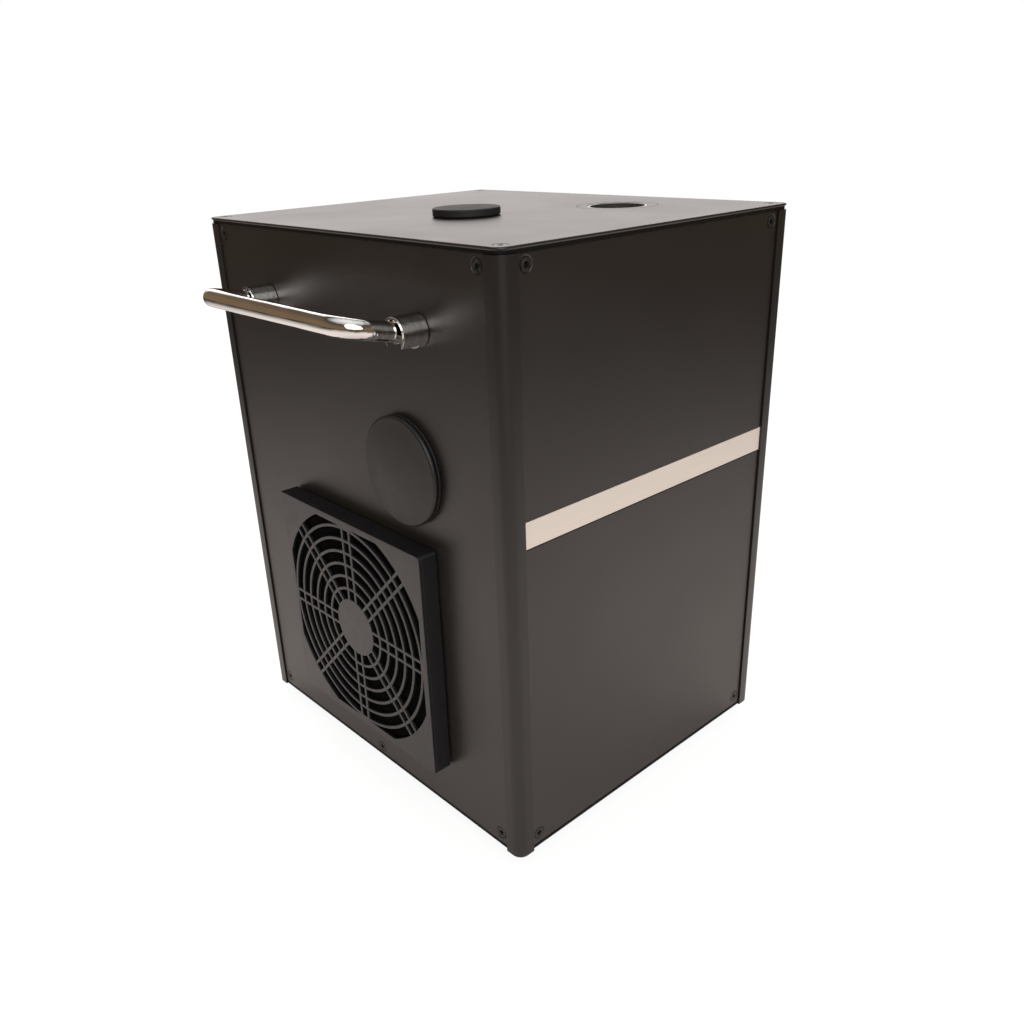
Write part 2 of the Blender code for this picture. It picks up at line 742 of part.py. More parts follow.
def make_bottom_plate(cabinet):
    """A flat plate notched round the posts, with the blocks that the lower screws enter."""
    edge_x = HALF_WIDTH - BOTTOM_PLATE_INSET
    edge_y = HALF_DEPTH - BOTTOM_PLATE_INSET
    low = (-edge_x, -edge_y, PLATE_BOTTOM_Z)
    plate = make_piece(
        cabinet, "bottom_plate", box_shape(low, (edge_x, edge_y, PLATE_TOP_Z)), BLACK_PAINT
    )
    notches = []
    foot_holes = []
    notch = POST_FACE + FIT
    for _, sign_x, sign_y in corner_places():
        frame = corner_frame(sign_x, sign_y)
        low = (-FIT, -FIT, PLATE_BOTTOM_Z - FIT)
        notches.append(box_shape(low, (notch, notch, PLATE_TOP_Z + FIT), frame))
        spot = frame @ Vector((FOOT_INSET, FOOT_INSET, PLATE_BOTTOM_Z))
        hole_place = Matrix.Translation(spot)
        through = BOTTOM_PLATE_THICKNESS + FIT
        foot_holes.append(rod_shape(FOOT_STEM_RADIUS + FIT, -FIT, through, hole_place, 10))
    combine(plate, many(notches + foot_holes))
    seat = FLANGE_BACK + FIT
    block_end = seat + BLOCK_SIZE
    block_top = PLATE_TOP_Z + BLOCK_HEIGHT
    root_z = PLATE_TOP_Z - BOTTOM_PLATE_THICKNESS / 2
    blocks = []
    for _, sign_x, sign_y in corner_places():
        frame = corner_frame(sign_x, sign_y)
        outline = [
            (notch, seat), (block_end, seat), (block_end, block_end),
            (seat, block_end), (seat, notch), (notch, notch),
        ]
        blocks.append(shaped(lambda shape: add_prism(shape, outline, root_z, block_top), frame))
    for sign_x in (-1, 1):
        near = sign_x * (HALF_WIDTH - FLANGE_SEAT)
        far = near - sign_x * MIDDLE_BLOCK_DEPTH
        half = MIDDLE_BLOCK_WIDTH / 2
        blocks.append(box_shape((min(near, far), -half, root_z), (max(near, far), half, block_top)))
    join(plate, many(blocks))
    taps = []
    for side in FACES:
        for u, z, enters_block in panel_screw_places(side):
            if enters_block:
                place = face_frame(side) @ Matrix.Translation((u, z, 0.0))
                taps.append(rod_shape(SCREW_TAP_RADIUS, -SCREW_TAP_DEPTH, -PANEL_THICKNESS, place, 6))
    combine(plate, many(taps))


def make_foot(cabinet, name, sign_x, sign_y):
    """A rubber bumper with a stem pushed up through the bottom plate."""
    spot = corner_frame(sign_x, sign_y) @ Vector((FOOT_INSET, FOOT_INSET, 0.0))
    top = PLATE_BOTTOM_Z - FIT
    profile = [
        (FOOT_RADIUS - FOOT_EDGE, 0.0),
        (FOOT_RADIUS, top),
        (FOOT_STEM_RADIUS, top),
        (FOOT_STEM_RADIUS, top + FOOT_STEM_LENGTH),
    ]
    make_piece(cabinet, f"foot_{name}", turned_shape(profile, Matrix.Translation(spot), 16), RUBBER)


def make_front_stripe(cabinet, front_panel):
    frame = face_frame("front")
    half = panel_width("front") / 2
    middle = BASE_Z + STRIPE_CENTRE_RISE
    groove = STRIPE_HEIGHT / 2 + FIT
    low = (-half - FIT, middle - groove, -STRIPE_GROOVE)
    combine(front_panel, box_shape(low, (half + FIT, middle + groove, FIT), frame))
    back = -STRIPE_GROOVE + FIT
    low = (-half, middle - STRIPE_HEIGHT / 2, back)
    high = (half, middle + STRIPE_HEIGHT / 2, back + STRIPE_THICKNESS)
    make_piece(cabinet, "front_stripe", box_shape(low, high, frame), ALUMINIUM)


def cut_vents(right_panel):
    """Two columns of slots, low in the panel that faces away from the fan."""
    slots = []
    for row in range(VENT_ROWS):
        z = BASE_Z + VENT_RISE + row * VENT_PITCH
        for sign in (-1, 1):
            middle = sign * (VENT_LENGTH + VENT_COLUMN_GAP) / 2
            low = (middle - VENT_LENGTH / 2, z, -PANEL_THICKNESS - FIT)
            high = (middle + VENT_LENGTH / 2, z + VENT_HEIGHT, FIT)
            slots.append(box_shape(low, high, face_frame("right")))
    combine(right_panel, many(slots))


# Handles


def handle_frame(side):
    """Local x along the handle, y up, z out, from the panel's surface at the handle's middle."""
    right = Vector(FACES[side][0])
    return face_frame(side) @ Matrix.Translation((right.y * HANDLE_CENTRE_Y, HANDLE_Z, 0.0))


def pivot_place(place):
    """Local z along the pin of the boss that stands at a place."""
    return place @ Matrix.Translation((0.0, 0.0, PIVOT_REACH)) @ Matrix.Rotation(math.pi / 2, 4, "Y")


def make_handle(cabinet, side, panel):
    """Two chromed bosses with a cup, a slot below and a cross pin, and a bent bar on the pins."""
    frame = handle_frame(side)
    stud_holes = []
    for end, sign in (("front", -1), ("rear", 1)):
        u = Vector(FACES[side][0]).y * sign * HANDLE_SPAN / 2
        place = frame @ Matrix.Translation((u, 0.0, 0.0))
        cup = BOSS_RADIUS - BOSS_WALL
        profile = [
            (BOSS_STUD_RADIUS, -BOSS_STUD_LENGTH),
            (BOSS_STUD_RADIUS, FIT),
            (BOSS_RADIUS, FIT),
            (BOSS_RADIUS, BOSS_LENGTH),
            (cup, BOSS_LENGTH),
            (cup, BOSS_FLOOR),
        ]
        name = f"{side}_handle_boss_{end}"
        boss = make_piece(cabinet, name, turned_shape(profile, place, 20), CHROME)
        slot = BAR_RADIUS + SLOT_PLAY
        low = (-slot, -BOSS_RADIUS - FIT, BOSS_FLOOR + FIT)
        combine(boss, box_shape(low, (slot, 0.0, BOSS_LENGTH + FIT), place))
        across = pivot_place(place)
        pin_half = (cup + BOSS_RADIUS) / 2
        join(boss, rod_shape(PIN_RADIUS, -pin_half, pin_half, across, 8))
        stud_holes.append(rod_shape(
            BOSS_STUD_RADIUS + FIT, -PANEL_THICKNESS - FIT, FIT, place, 12
        ))
    combine(panel, many(stud_holes))
    make_handle_bar(cabinet, side, frame)


def make_handle_bar(cabinet, side, frame):
    """A bar with rounded ends, bent at right angles twice, that rests a little above level."""
    half = HANDLE_SPAN / 2
    turn_steps = 4
    path = []
    radii = []
    for degrees in (-72, -48, -24, 0):
        angle = math.radians(degrees)
        path.append(Vector((-half, 0.0, PIVOT_REACH + BAR_RADIUS * math.sin(angle))))
        radii.append(BAR_RADIUS * math.cos(angle))
    for i in range(turn_steps + 1):
        angle = math.pi / 2 * i / turn_steps
        path.append(Vector((
            -half + BAR_BEND_RADIUS * (1 - math.cos(angle)),
            0.0,
            BAR_REACH - BAR_BEND_RADIUS * (1 - math.sin(angle)),
        )))
        radii.append(BAR_RADIUS)
    path += [Vector((-point.x, 0.0, point.z)) for point in reversed(path)]
    radii += list(reversed(radii))
    pivot = Vector((0.0, 0.0, PIVOT_REACH))
    lift = Matrix.Rotation(-math.radians(HANDLE_LIFT), 4, "X")
    raised = frame @ Matrix.Translation(pivot) @ lift @ Matrix.Translation(-pivot)
    bar_shape = shaped(lambda shape: add_sweep(shape, path, radii, BAR_SIDES), raised)
    bar = make_piece(cabinet, f"{side}_handle_bar", bar_shape, CHROME, frame @ pivot)
    eyes = []
    for u in (-half, half):
        across = pivot_place(frame @ Matrix.Translation((u, 0.0, 0.0)))
        eyes.append(rod_shape(PIN_RADIUS + FIT, -BOSS_RADIUS, BOSS_RADIUS, across, 8))
    combine(bar, many(eyes))


# Fan group on the left panel


def fan_place():
    return face_frame("left") @ Matrix.Translation((-FAN_CENTRE_Y, FAN_Z, 0.0))


def fan_screw_spots():
    half = FAN_SIZE / 2 - FAN_SCREW_INSET
    return [(a, b) for a in (-half, half) for b in (-half, half)]


def fan_screw_holes(start, end):
    return [
        rod_shape(FAN_SCREW_HOLE_RADIUS, start, end, fan_place() @ Matrix.Translation((a, b, 0.0)), 8)
        for a, b in fan_screw_spots()
    ]


def clipped_square(half, radius, angle):
    """How far a square clipped by a circle reaches at an angle."""
    return min(radius, half / max(abs(math.cos(angle)), abs(math.sin(angle))))


def guard_columns():
    """Spoke angle and offset of each bar edge, or the share of the way to the next spoke."""
    columns = []
    inner = GUARD_BAR_OFFSET - GUARD_BAR_WIDTH / 2
    outer = GUARD_BAR_OFFSET + GUARD_BAR_WIDTH / 2
    for spoke in range(8):
        middle = () if spoke % 2 == 0 else (0.0,)
        offsets = (-outer, -inner, *middle, inner, outer)
        columns += [(spoke, offset, None) for offset in offsets]
        columns += [(spoke, None, share) for share in (1 / 3, 2 / 3)]
    return columns


def guard_angle(column, radius, on_rim):
    """The angle of a column at a radius. On the rim the clear columns mark its corners."""
    spoke, offset, share = column
    step = math.pi / 4
    if offset is not None:
        return spoke * step + math.asin(offset / radius)
    if on_rim:
        half = GUARD_OPENING / 2
        touch = math.acos(half / GUARD_LAST_RADIUS)
        clip = math.acos(half / GUARD_OPENING_RADIUS)
        near, far = (touch, clip) if spoke % 2 == 0 else (step - clip, step - touch)
        return spoke * step + (near if share < 0.5 else far)
    edge = math.asin((GUARD_BAR_OFFSET + GUARD_BAR_WIDTH / 2) / radius)
    return spoke * step + edge + share * (step - 2 * edge)


def guard_layers():
    """Rows of (x, y) points from the disc's edge out to the guard's own edge."""
    columns = guard_columns()
    half_ring = GUARD_RING_WIDTH / 2
    last = GUARD_LAST_RADIUS
    pitch = (last - half_ring - GUARD_RING_FIRST) / (GUARD_RINGS - 1)
    radii = [GUARD_DISC_RADIUS]
    for ring in range(GUARD_RINGS):
        middle = GUARD_RING_FIRST + ring * pitch
        radii += [middle - half_ring, middle + half_ring]
    radii[-1] = last
    layers = []
    for radius in radii:
        angles = [guard_angle(column, radius, radius == last) for column in columns]
        layers.append([(radius * math.cos(a), radius * math.sin(a)) for a in angles])
    clip = GUARD_OPENING_RADIUS
    rim = []
    for column in columns:
        diagonal = column[0] % 2 == 1 and column[1] is not None
        angle = guard_angle(column, clip if diagonal else last, True)
        reach = max(last, clipped_square(GUARD_OPENING / 2, clip, angle))
        rim.append((reach * math.cos(angle), reach * math.sin(angle)))
    layers.append(rim)
    for half in (GUARD_SIZE / 2 - GUARD_WALL, GUARD_SIZE / 2):
        edge = []
        for a, b in rim:
            scale = half / max(abs(a), abs(b))
            edge.append((a * scale, b * scale))
        layers.append(edge)
    return layers


def guard_is_solid(band, column, next_column):
    """Rings and the frame are solid all round, the bands between them only at the bars."""
    open_bands = range(0, 2 * GUARD_RINGS + 1, 2)
    if band not in open_bands:
        return True
    if column[1] is None or next_column[1] is None:
        return False
    return column[1] * next_column[1] > 0


def build_guard(shape):
    """The front as a flat web of faces, thickened, with the side walls drawn back from it."""
    layers = guard_layers()
    columns = guard_columns()
    count = len(columns)
    welds = {}

    def corner(point):
        key = (round(point[0], 7), round(point[1], 7))
        if key not in welds:
            welds[key] = shape.verts.new((point[0], point[1], GUARD_DEPTH))
        return welds[key]

    rows = [[corner(point) for point in layer] for layer in layers]
    shape.faces.new(rows[0])
    for band in range(len(rows) - 1):
        for i in range(count):
            j = (i + 1) % count
            if not guard_is_solid(band, columns[i], columns[j]):
                continue
            ring = (rows[band][i], rows[band][j], rows[band + 1][j], rows[band + 1][i])
            corners = list(dict.fromkeys(ring))
            if len(corners) > 2:
                shape.faces.new(corners)
    web = bmesh.ops.extrude_face_region(shape, geom=shape.faces[:])
    moved = [item for item in web["geom"] if isinstance(item, bmesh.types.BMVert)]
    bmesh.ops.translate(shape, vec=(0.0, 0.0, -GUARD_FACE), verts=moved)
    back = GUARD_DEPTH - GUARD_FACE
    inside = GUARD_SIZE / 2 - GUARD_WALL - FIT
    wall = []
    for face in shape.faces:
        middle = face.calc_center_median()
        level = all(abs(vert.co.z - back) < FIT for vert in face.verts)
        if level and max(abs(middle.x), abs(middle.y)) > inside:
            wall.append(face)
    walls = bmesh.ops.extrude_face_region(shape, geom=wall)
    moved = [item for item in walls["geom"] if isinstance(item, bmesh.types.BMVert)]
    bmesh.ops.translate(shape, vec=(0.0, 0.0, FIT - back), verts=moved)
    bmesh.ops.delete(shape, geom=[face for face in wall if face.is_valid], context="FACES_ONLY")


def make_fan_guard(cabinet):
    make_piece(cabinet, "fan_guard", shaped(build_guard, fan_place()), BLACK_PLASTIC)


def make_fan_guard_base(cabinet):
    half = GUARD_SIZE / 2 - GUARD_WALL - FIT
    top = FIT + GUARD_BASE_THICKNESS
    plate = box_shape((-half, -half, FIT), (half, half, top), fan_place())
    base = make_piece(cabinet, "fan_guard_base", plate, BLACK_PLASTIC)
    opening = rod_shape(FAN_DUCT_RADIUS - GUARD_BASE_LIP, 0.0, top + FIT, fan_place(), 32)
    combine(base, many([opening] + fan_screw_holes(0.0, top + FIT)))


def make_fan_filter(cabinet):
    bottom = FIT + GUARD_BASE_THICKNESS + FIT
    top = GUARD_DEPTH - GUARD_FACE - FIT
    half = GUARD_SIZE / 2 - GUARD_WALL - FILTER_CLEARANCE
    outline = []
    steps = 40
    for i in range(steps):
        angle = 2 * math.pi * (i + 0.5) / steps
        reach = clipped_square(half, GUARD_OPENING_RADIUS, angle)
        outline.append((reach * math.cos(angle), reach * math.sin(angle)))
    shape = shaped(lambda body: add_prism(body, outline, bottom, top), fan_place())
    make_piece(cabinet, "fan_filter", shape, FOAM)


def make_fan_housing(cabinet):
    front = -PANEL_THICKNESS - FIT
    back = front - FAN_THICKNESS
    outline = rounded_rectangle(FAN_SIZE, FAN_SIZE, FAN_CORNER_RADIUS, 3)
    shape = shaped(lambda body: add_prism(body, outline, back, front), fan_place())
    housing = make_piece(cabinet, "fan_housing", shape, BLACK_PLASTIC)
    duct = rod_shape(FAN_DUCT_RADIUS, back - FIT, front + FIT, fan_place(), 32)
    combine(housing, many([duct] + fan_screw_holes(back - FIT, front + FIT)))
    mount_top = back + FAN_MOUNT_THICKNESS
    reach = FAN_DUCT_RADIUS + FAN_DUCT_WALL
    strut_low = back + FIT
    strut_top = mount_top - FIT
    for turn in (45, 135):
        place = fan_place() @ Matrix.Rotation(math.radians(turn), 4, "Z")
        low = (-reach, -FAN_STRUT_WIDTH / 2, strut_low)
        join(housing, box_shape(low, (reach, FAN_STRUT_WIDTH / 2, strut_top), place))
    join(housing, rod_shape(FAN_MOUNT_RADIUS, back, mount_top, fan_place(), 24))
    combine(housing, rod_shape(FAN_SHAFT_RADIUS + FIT, back - FIT, mount_top + FIT, fan_place(), 10))


def make_fan_rotor(cabinet):
    """A hub on a shaft stub, with blades that twist round it."""
    back = -PANEL_THICKNESS - FIT - FAN_THICKNESS
    hub_back = back + FAN_MOUNT_THICKNESS + FIT
    hub_front = hub_back + FAN_HUB_DEPTH
    centre = fan_place()
    profile = [
        (FAN_SHAFT_RADIUS, back + FIT),
        (FAN_SHAFT_RADIUS, hub_back),
        (FAN_HUB_RADIUS, hub_back),
        (FAN_HUB_RADIUS, hub_front - FAN_HUB_EDGE),
        (FAN_HUB_RADIUS - FAN_HUB_EDGE, hub_front),
    ]
    axis_point = centre @ Vector((0.0, 0.0, hub_back))
    hub = turned_shape(profile, centre, 20)
    rotor = make_piece(cabinet, "fan_rotor", hub, BLACK_PLASTIC, axis_point)
    tip = FAN_DUCT_RADIUS - FAN_TIP_GAP
    radii = (FAN_HUB_RADIUS - FAN_BLADE_ROOT, (FAN_HUB_RADIUS + tip) / 2, tip)
    sweep = math.radians(FAN_BLADE_SWEEP)
    middle = (hub_back + hub_front) / 2

    def build_blade(shape):
        rings = []
        for radius in radii:
            ring = []
            for along, lift in ((-1, -1), (1, -1), (1, 1), (-1, 1)):
                angle = along * sweep / 2
                height = middle + along * FAN_BLADE_RISE / 2 + lift * FAN_BLADE_THICKNESS / 2
                ring.append(Vector((radius * math.cos(angle), radius * math.sin(angle), height)))
            rings.append(ring)
        add_rings(shape, rings)

    blades = []
    for i in range(FAN_BLADES):
        place = centre @ Matrix.Rotation(2 * math.pi * i / FAN_BLADES, 4, "Z")
        blades.append(shaped(build_blade, place))
    join(rotor, many(blades))


# Side port


def port_place():
    return face_frame("left") @ Matrix.Translation((-PORT_Y, PORT_Z, 0.0))


def make_side_port(cabinet):
    tube_outer = PORT_HOLE_RADIUS - FIT
    tube_inner = tube_outer - PORT_TUBE_WALL
    ring_top = FIT + PORT_COLLAR_THICKNESS
    collar = [
        (tube_inner, -PORT_TUBE_LENGTH),
        (tube_outer, -PORT_TUBE_LENGTH),
        (tube_outer, FIT),
        (PORT_CAP_RADIUS, FIT),
        (PORT_CAP_RADIUS, ring_top),
        (tube_inner, ring_top),
    ]
    make_piece(
        cabinet, "side_port_collar", turned_shape(collar, port_place(), 28, tube=True), BLACK_PLASTIC
    )
    cap_bottom = ring_top + FIT
    cap_top = cap_bottom + PORT_CAP_THICKNESS
    plug = tube_inner - FIT
    cap = [
        (plug, -PORT_PLUG_LENGTH),
        (plug, cap_bottom),
        (PORT_CAP_RADIUS, cap_bottom),
        (PORT_CAP_RADIUS, cap_top - PORT_CAP_EDGE),
        (PORT_CAP_RADIUS - PORT_CAP_EDGE, cap_top),
        (PORT_CAP_RADIUS / 2, cap_top + PORT_CAP_CROWN),
    ]
    seat = port_place() @ Vector((0.0, 0.0, cap_bottom))
    make_piece(cabinet, "side_port_cap", turned_shape(cap, port_place(), 32), SATIN_BLACK, seat)


# Filler and hopper


def filler_tube_radius():
    return FILLER_PLUG_RADIUS + FIT + FILLER_TUBE_WALL


def make_filler(cabinet):
    place = Matrix.Translation((FILLER_X, FILLER_Y, TOP_Z))
    inner = FILLER_PLUG_RADIUS + FIT
    outer = filler_tube_radius()
    under = -TOP_PLATE_THICKNESS - FIT
    collar = [
        (inner, -FILLER_TUBE_LENGTH),
        (outer, -FILLER_TUBE_LENGTH),
        (outer, under - FILLER_FLANGE_THICKNESS),
        (FILLER_FLANGE_RADIUS, under - FILLER_FLANGE_THICKNESS),
        (FILLER_FLANGE_RADIUS, under),
        (outer, under),
        (outer, 0.0),
        (inner, 0.0),
    ]
    make_piece(cabinet, "filler_collar", turned_shape(collar, place, 20, tube=True), ALUMINIUM)
    cap_top = FIT + FILLER_CAP_THICKNESS
    cap = [
        (FILLER_PLUG_RADIUS, -FILLER_PLUG_LENGTH),
        (FILLER_PLUG_RADIUS, FIT),
        (FILLER_CAP_RADIUS, FIT),
        (FILLER_CAP_RADIUS, cap_top - FILLER_CAP_EDGE),
        (FILLER_CAP_RADIUS - FILLER_CAP_EDGE, cap_top),
        (FILLER_CAP_RADIUS / 2, cap_top + FILLER_CAP_CROWN),
    ]
    seat = place @ Vector((0.0, 0.0, FIT))
    make_piece(cabinet, "filler_cap", turned_shape(cap, place, 24), SATIN_BLACK, seat)


def make_hopper(cabinet):
    """A thin funnel hung under the top plate, whose spout stands off towards the feed tube."""
    rim_top = TOP_UNDERSIDE_Z - FIT
    rim_bottom = rim_top - HOPPER_RIM_THICKNESS
    cone_top = rim_top - HOPPER_STRAIGHT
    spout_bottom = PORT_Z + FEED_TUBE_RADIUS / 2
    spout_top = spout_bottom + HOPPER_SPOUT_LENGTH
    mouth = (FILLER_X, FILLER_Y)
    outlet = (FILLER_X, PORT_Y)
    spout_inner = HOPPER_SPOUT_RADIUS - HOPPER_WALL
    body_inner = HOPPER_RADIUS - HOPPER_WALL
    rings = [
        circle(HOPPER_SPOUT_RADIUS, spout_bottom, 16, outlet),
        circle(HOPPER_SPOUT_RADIUS, spout_top, 16, outlet),
        circle(HOPPER_RADIUS, cone_top, 16, mouth),
        circle(HOPPER_RADIUS, rim_bottom, 16, mouth),
        circle(HOPPER_RADIUS + HOPPER_RIM, rim_bottom, 16, mouth),
        circle(HOPPER_RADIUS + HOPPER_RIM, rim_top, 16, mouth),
        circle(body_inner, rim_top, 16, mouth),
        circle(body_inner, cone_top + HOPPER_WALL / 2, 16, mouth),
        circle(spout_inner, spout_top + HOPPER_WALL / 2, 16, outlet),
        circle(spout_inner, spout_bottom, 16, outlet),
    ]
    hopper = make_piece(
        cabinet, "hopper", shaped(lambda shape: add_rings(shape, rings, closed=True)), ALUMINIUM
    )
    saddle = frame_along((FILLER_X, PORT_Y, PORT_Z), (1, 0, 0))
    combine(hopper, rod_shape(FEED_TUBE_RADIUS + FIT, -HOPPER_RADIUS, HOPPER_RADIUS, saddle, 20))


# Feed screw and gear motor


def feed_line(x):
    return frame_along((x, PORT_Y, PORT_Z), (1, 0, 0))


def feed_tube_end_x():
    return NOZZLE_X - (CORE_RADIUS + NOZZLE_BORE_RADIUS) / 2


def make_feed_tube(cabinet):
    """The tube and the bent plate welded to its end, which stands off the front panel."""
    plate_right = FEED_PLATE_X + FEED_PLATE_THICKNESS / 2
    plate_left = plate_right - FEED_PLATE_THICKNESS
    front = -HALF_DEPTH + FLANGE_SEAT
    bottom = PORT_Z - FEED_PLATE_HEIGHT / 2
    top = PORT_Z + FEED_PLATE_HEIGHT / 2
    plate = box_shape((plate_left, front, bottom), (plate_right, PORT_Y + FEED_PLATE_REACH, top))
    tube = make_piece(cabinet, "feed_tube", plate, STEEL)
    flange_high = (plate_left + FEED_PLATE_FLANGE, front + FEED_PLATE_THICKNESS, top - FIT)
    join(tube, box_shape((plate_left + FIT, front + FIT, bottom + FIT), flange_high))
    length = feed_tube_end_x() - FEED_PLATE_X
    join(tube, rod_shape(FEED_TUBE_RADIUS, 0.0, length, feed_line(FEED_PLATE_X), 20))
    start = FEED_PLATE_THICKNESS / 2 + FIT
    combine(tube, rod_shape(FEED_TUBE_BORE_RADIUS, start, length + FIT, feed_line(FEED_PLATE_X), 16))
    shaft_hole = rod_shape(
        FEED_SHAFT_RADIUS + 2 * FIT, -FEED_PLATE_THICKNESS, start + FIT, feed_line(FEED_PLATE_X), 12
    )
    combine(tube, shaft_hole)
    port = Matrix.Translation((FILLER_X, PORT_Y, PORT_Z))
    port_radius = HOPPER_SPOUT_RADIUS - HOPPER_WALL
    combine(tube, rod_shape(port_radius, 0.0, 2 * FEED_TUBE_RADIUS, port, 16))


def make_feed_screw(cabinet):
    """A shaft with one helical flight, driven from the motor at its left end."""
    start = FEED_PLATE_THICKNESS / 2 + 2 * FIT
    end = feed_tube_end_x() - FEED_PLATE_X - FEED_FLIGHT_THICKNESS
    shaft_start = -FEED_PLATE_THICKNESS / 2 - FIT - MOTOR_BORE_DEPTH + 2 * FIT
    place = feed_line(FEED_PLATE_X)
    axis_point = place.translation
    shaft = rod_shape(FEED_SHAFT_RADIUS, shaft_start, end + FIT, place, 10)
    screw = make_piece(cabinet, "feed_screw", shaft, STEEL, axis_point)
    turns = (end - start - FEED_FLIGHT_THICKNESS) / FEED_PITCH
    steps = math.ceil(turns * 8)
    inner = FEED_SHAFT_RADIUS / 2

    def build_flight(shape):
        rings = []
        for i in range(steps + 1):
            angle = 2 * math.pi * turns * i / steps
            low = start + (end - start - FEED_FLIGHT_THICKNESS) * i / steps
            ring = []
            for radius, lift in (
                (inner, 0.0), (FEED_SCREW_RADIUS, 0.0), (FEED_SCREW_RADIUS, 1.0), (inner, 1.0)
            ):
                height = low + lift * FEED_FLIGHT_THICKNESS
                ring.append(Vector((radius * math.cos(angle), radius * math.sin(angle), height)))
            rings.append(ring)
        add_rings(shape, rings)

    join(screw, shaped(build_flight, place))


def make_feed_motor(cabinet):
    face = FEED_PLATE_X - FEED_PLATE_THICKNESS / 2 - FIT
    place = frame_along((face, PORT_Y, PORT_Z), (-1, 0, 0))
    profile = [
        (GEARBOX_RADIUS, 0.0),
        (GEARBOX_RADIUS, GEARBOX_LENGTH),
        (MOTOR_RADIUS, GEARBOX_LENGTH),
        (MOTOR_RADIUS, GEARBOX_LENGTH + MOTOR_LENGTH),
    ]
    motor = make_piece(cabinet, "feed_motor", turned_shape(profile, place, 24), STEEL)
    combine(motor, rod_shape(FEED_SHAFT_RADIUS + FIT, -FIT, MOTOR_BORE_DEPTH, place, 12))


# Nozzle and heating core


def core_place(z=0.0):
    return Matrix.Translation((NOZZLE_X, NOZZLE_Y, z))


def make_nozzle(cabinet):
    under = -TOP_PLATE_THICKNESS - FIT
    hole = NOZZLE_RADIUS + FIT
    flange = [
        (hole, under - NOZZLE_SEAT_THICKNESS),
        (NOZZLE_SEAT_RADIUS, under - NOZZLE_SEAT_THICKNESS),
        (NOZZLE_SEAT_RADIUS, under),
        (NOZZLE_FLANGE_RADIUS, under),
        (NOZZLE_FLANGE_RADIUS, 0.0),
        (hole, 0.0),
    ]
    place = core_place(TOP_Z)
    make_piece(cabinet, "nozzle_flange", turned_shape(flange, place, 28, tube=True), BLACK_PAINT)
    tube = [
        (NOZZLE_BORE_RADIUS, -NOZZLE_LENGTH),
        (CORE_FLANGE_RADIUS, -NOZZLE_LENGTH),
        (CORE_FLANGE_RADIUS, -NOZZLE_LENGTH + CORE_FLANGE_THICKNESS),
        (NOZZLE_RADIUS, -NOZZLE_LENGTH + CORE_FLANGE_THICKNESS),
        (NOZZLE_RADIUS, -NOZZLE_SINK),
        (NOZZLE_RADIUS - NOZZLE_LIP, -NOZZLE_SINK),
        (NOZZLE_BORE_RADIUS, -NOZZLE_SINK - NOZZLE_CHAMFER_DEPTH),
    ]
    make_piece(cabinet, "nozzle_tube", turned_shape(tube, place, 28, tube=True), STEEL)


def make_heating_tube(cabinet):
    profile = [
        (NOZZLE_BORE_RADIUS, CORE_BOTTOM_Z),
        (CORE_FOOT_RADIUS, CORE_BOTTOM_Z),
        (CORE_FOOT_RADIUS, CORE_BOTTOM_Z + CORE_FLANGE_THICKNESS),
        (CORE_RADIUS, CORE_BOTTOM_Z + CORE_FLANGE_THICKNESS),
        (CORE_RADIUS, CORE_TOP_Z - CORE_FLANGE_THICKNESS),
        (CORE_FLANGE_RADIUS, CORE_TOP_Z - CORE_FLANGE_THICKNESS),
        (CORE_FLANGE_RADIUS, CORE_TOP_Z),
        (NOZZLE_BORE_RADIUS, CORE_TOP_Z),
    ]
    wall = turned_shape(profile, core_place(), 20, tube=True)
    tube = make_piece(cabinet, "heating_tube", wall, STEEL)
    inlet = feed_line(NOZZLE_X)
    combine(tube, rod_shape(FEED_TUBE_RADIUS + FIT, -2 * CORE_RADIUS, 0.0, inlet, 16))


def make_sleeve_and_coil(cabinet):
    bottom = PORT_Z + FEED_TUBE_RADIUS + SLEEVE_RISE
    top = CORE_TOP_Z - CORE_FLANGE_THICKNESS - FIT
    inner = CORE_RADIUS + FIT
    sleeve = [(inner, bottom), (SLEEVE_RADIUS, bottom), (SLEEVE_RADIUS, top), (inner, top)]
    make_piece(
        cabinet, "insulation_sleeve", turned_shape(sleeve, core_place(), 20, tube=True), CERAMIC_FIBRE
    )
    steps = 12
    radius = (SLEEVE_RADIUS + FIT + COIL_WIRE_RADIUS) / math.cos(math.pi / steps)
    height = COIL_TURNS * COIL_PITCH
    start = (bottom + top - height) / 2
    path = [Vector((radius, -COIL_LEAD, start))]
    for i in range(COIL_TURNS * steps + 1):
        angle = 2 * math.pi * i / steps
        path.append(Vector((
            radius * math.cos(angle), radius * math.sin(angle), start + COIL_PITCH * i / steps
        )))
    path.append(Vector((radius, COIL_LEAD, start + height)))
    radii = [COIL_WIRE_RADIUS] * len(path)
    coil = shaped(lambda shape: add_sweep(shape, path, radii, 5), core_place())
    make_piece(cabinet, "heating_coil", coil, COPPER)


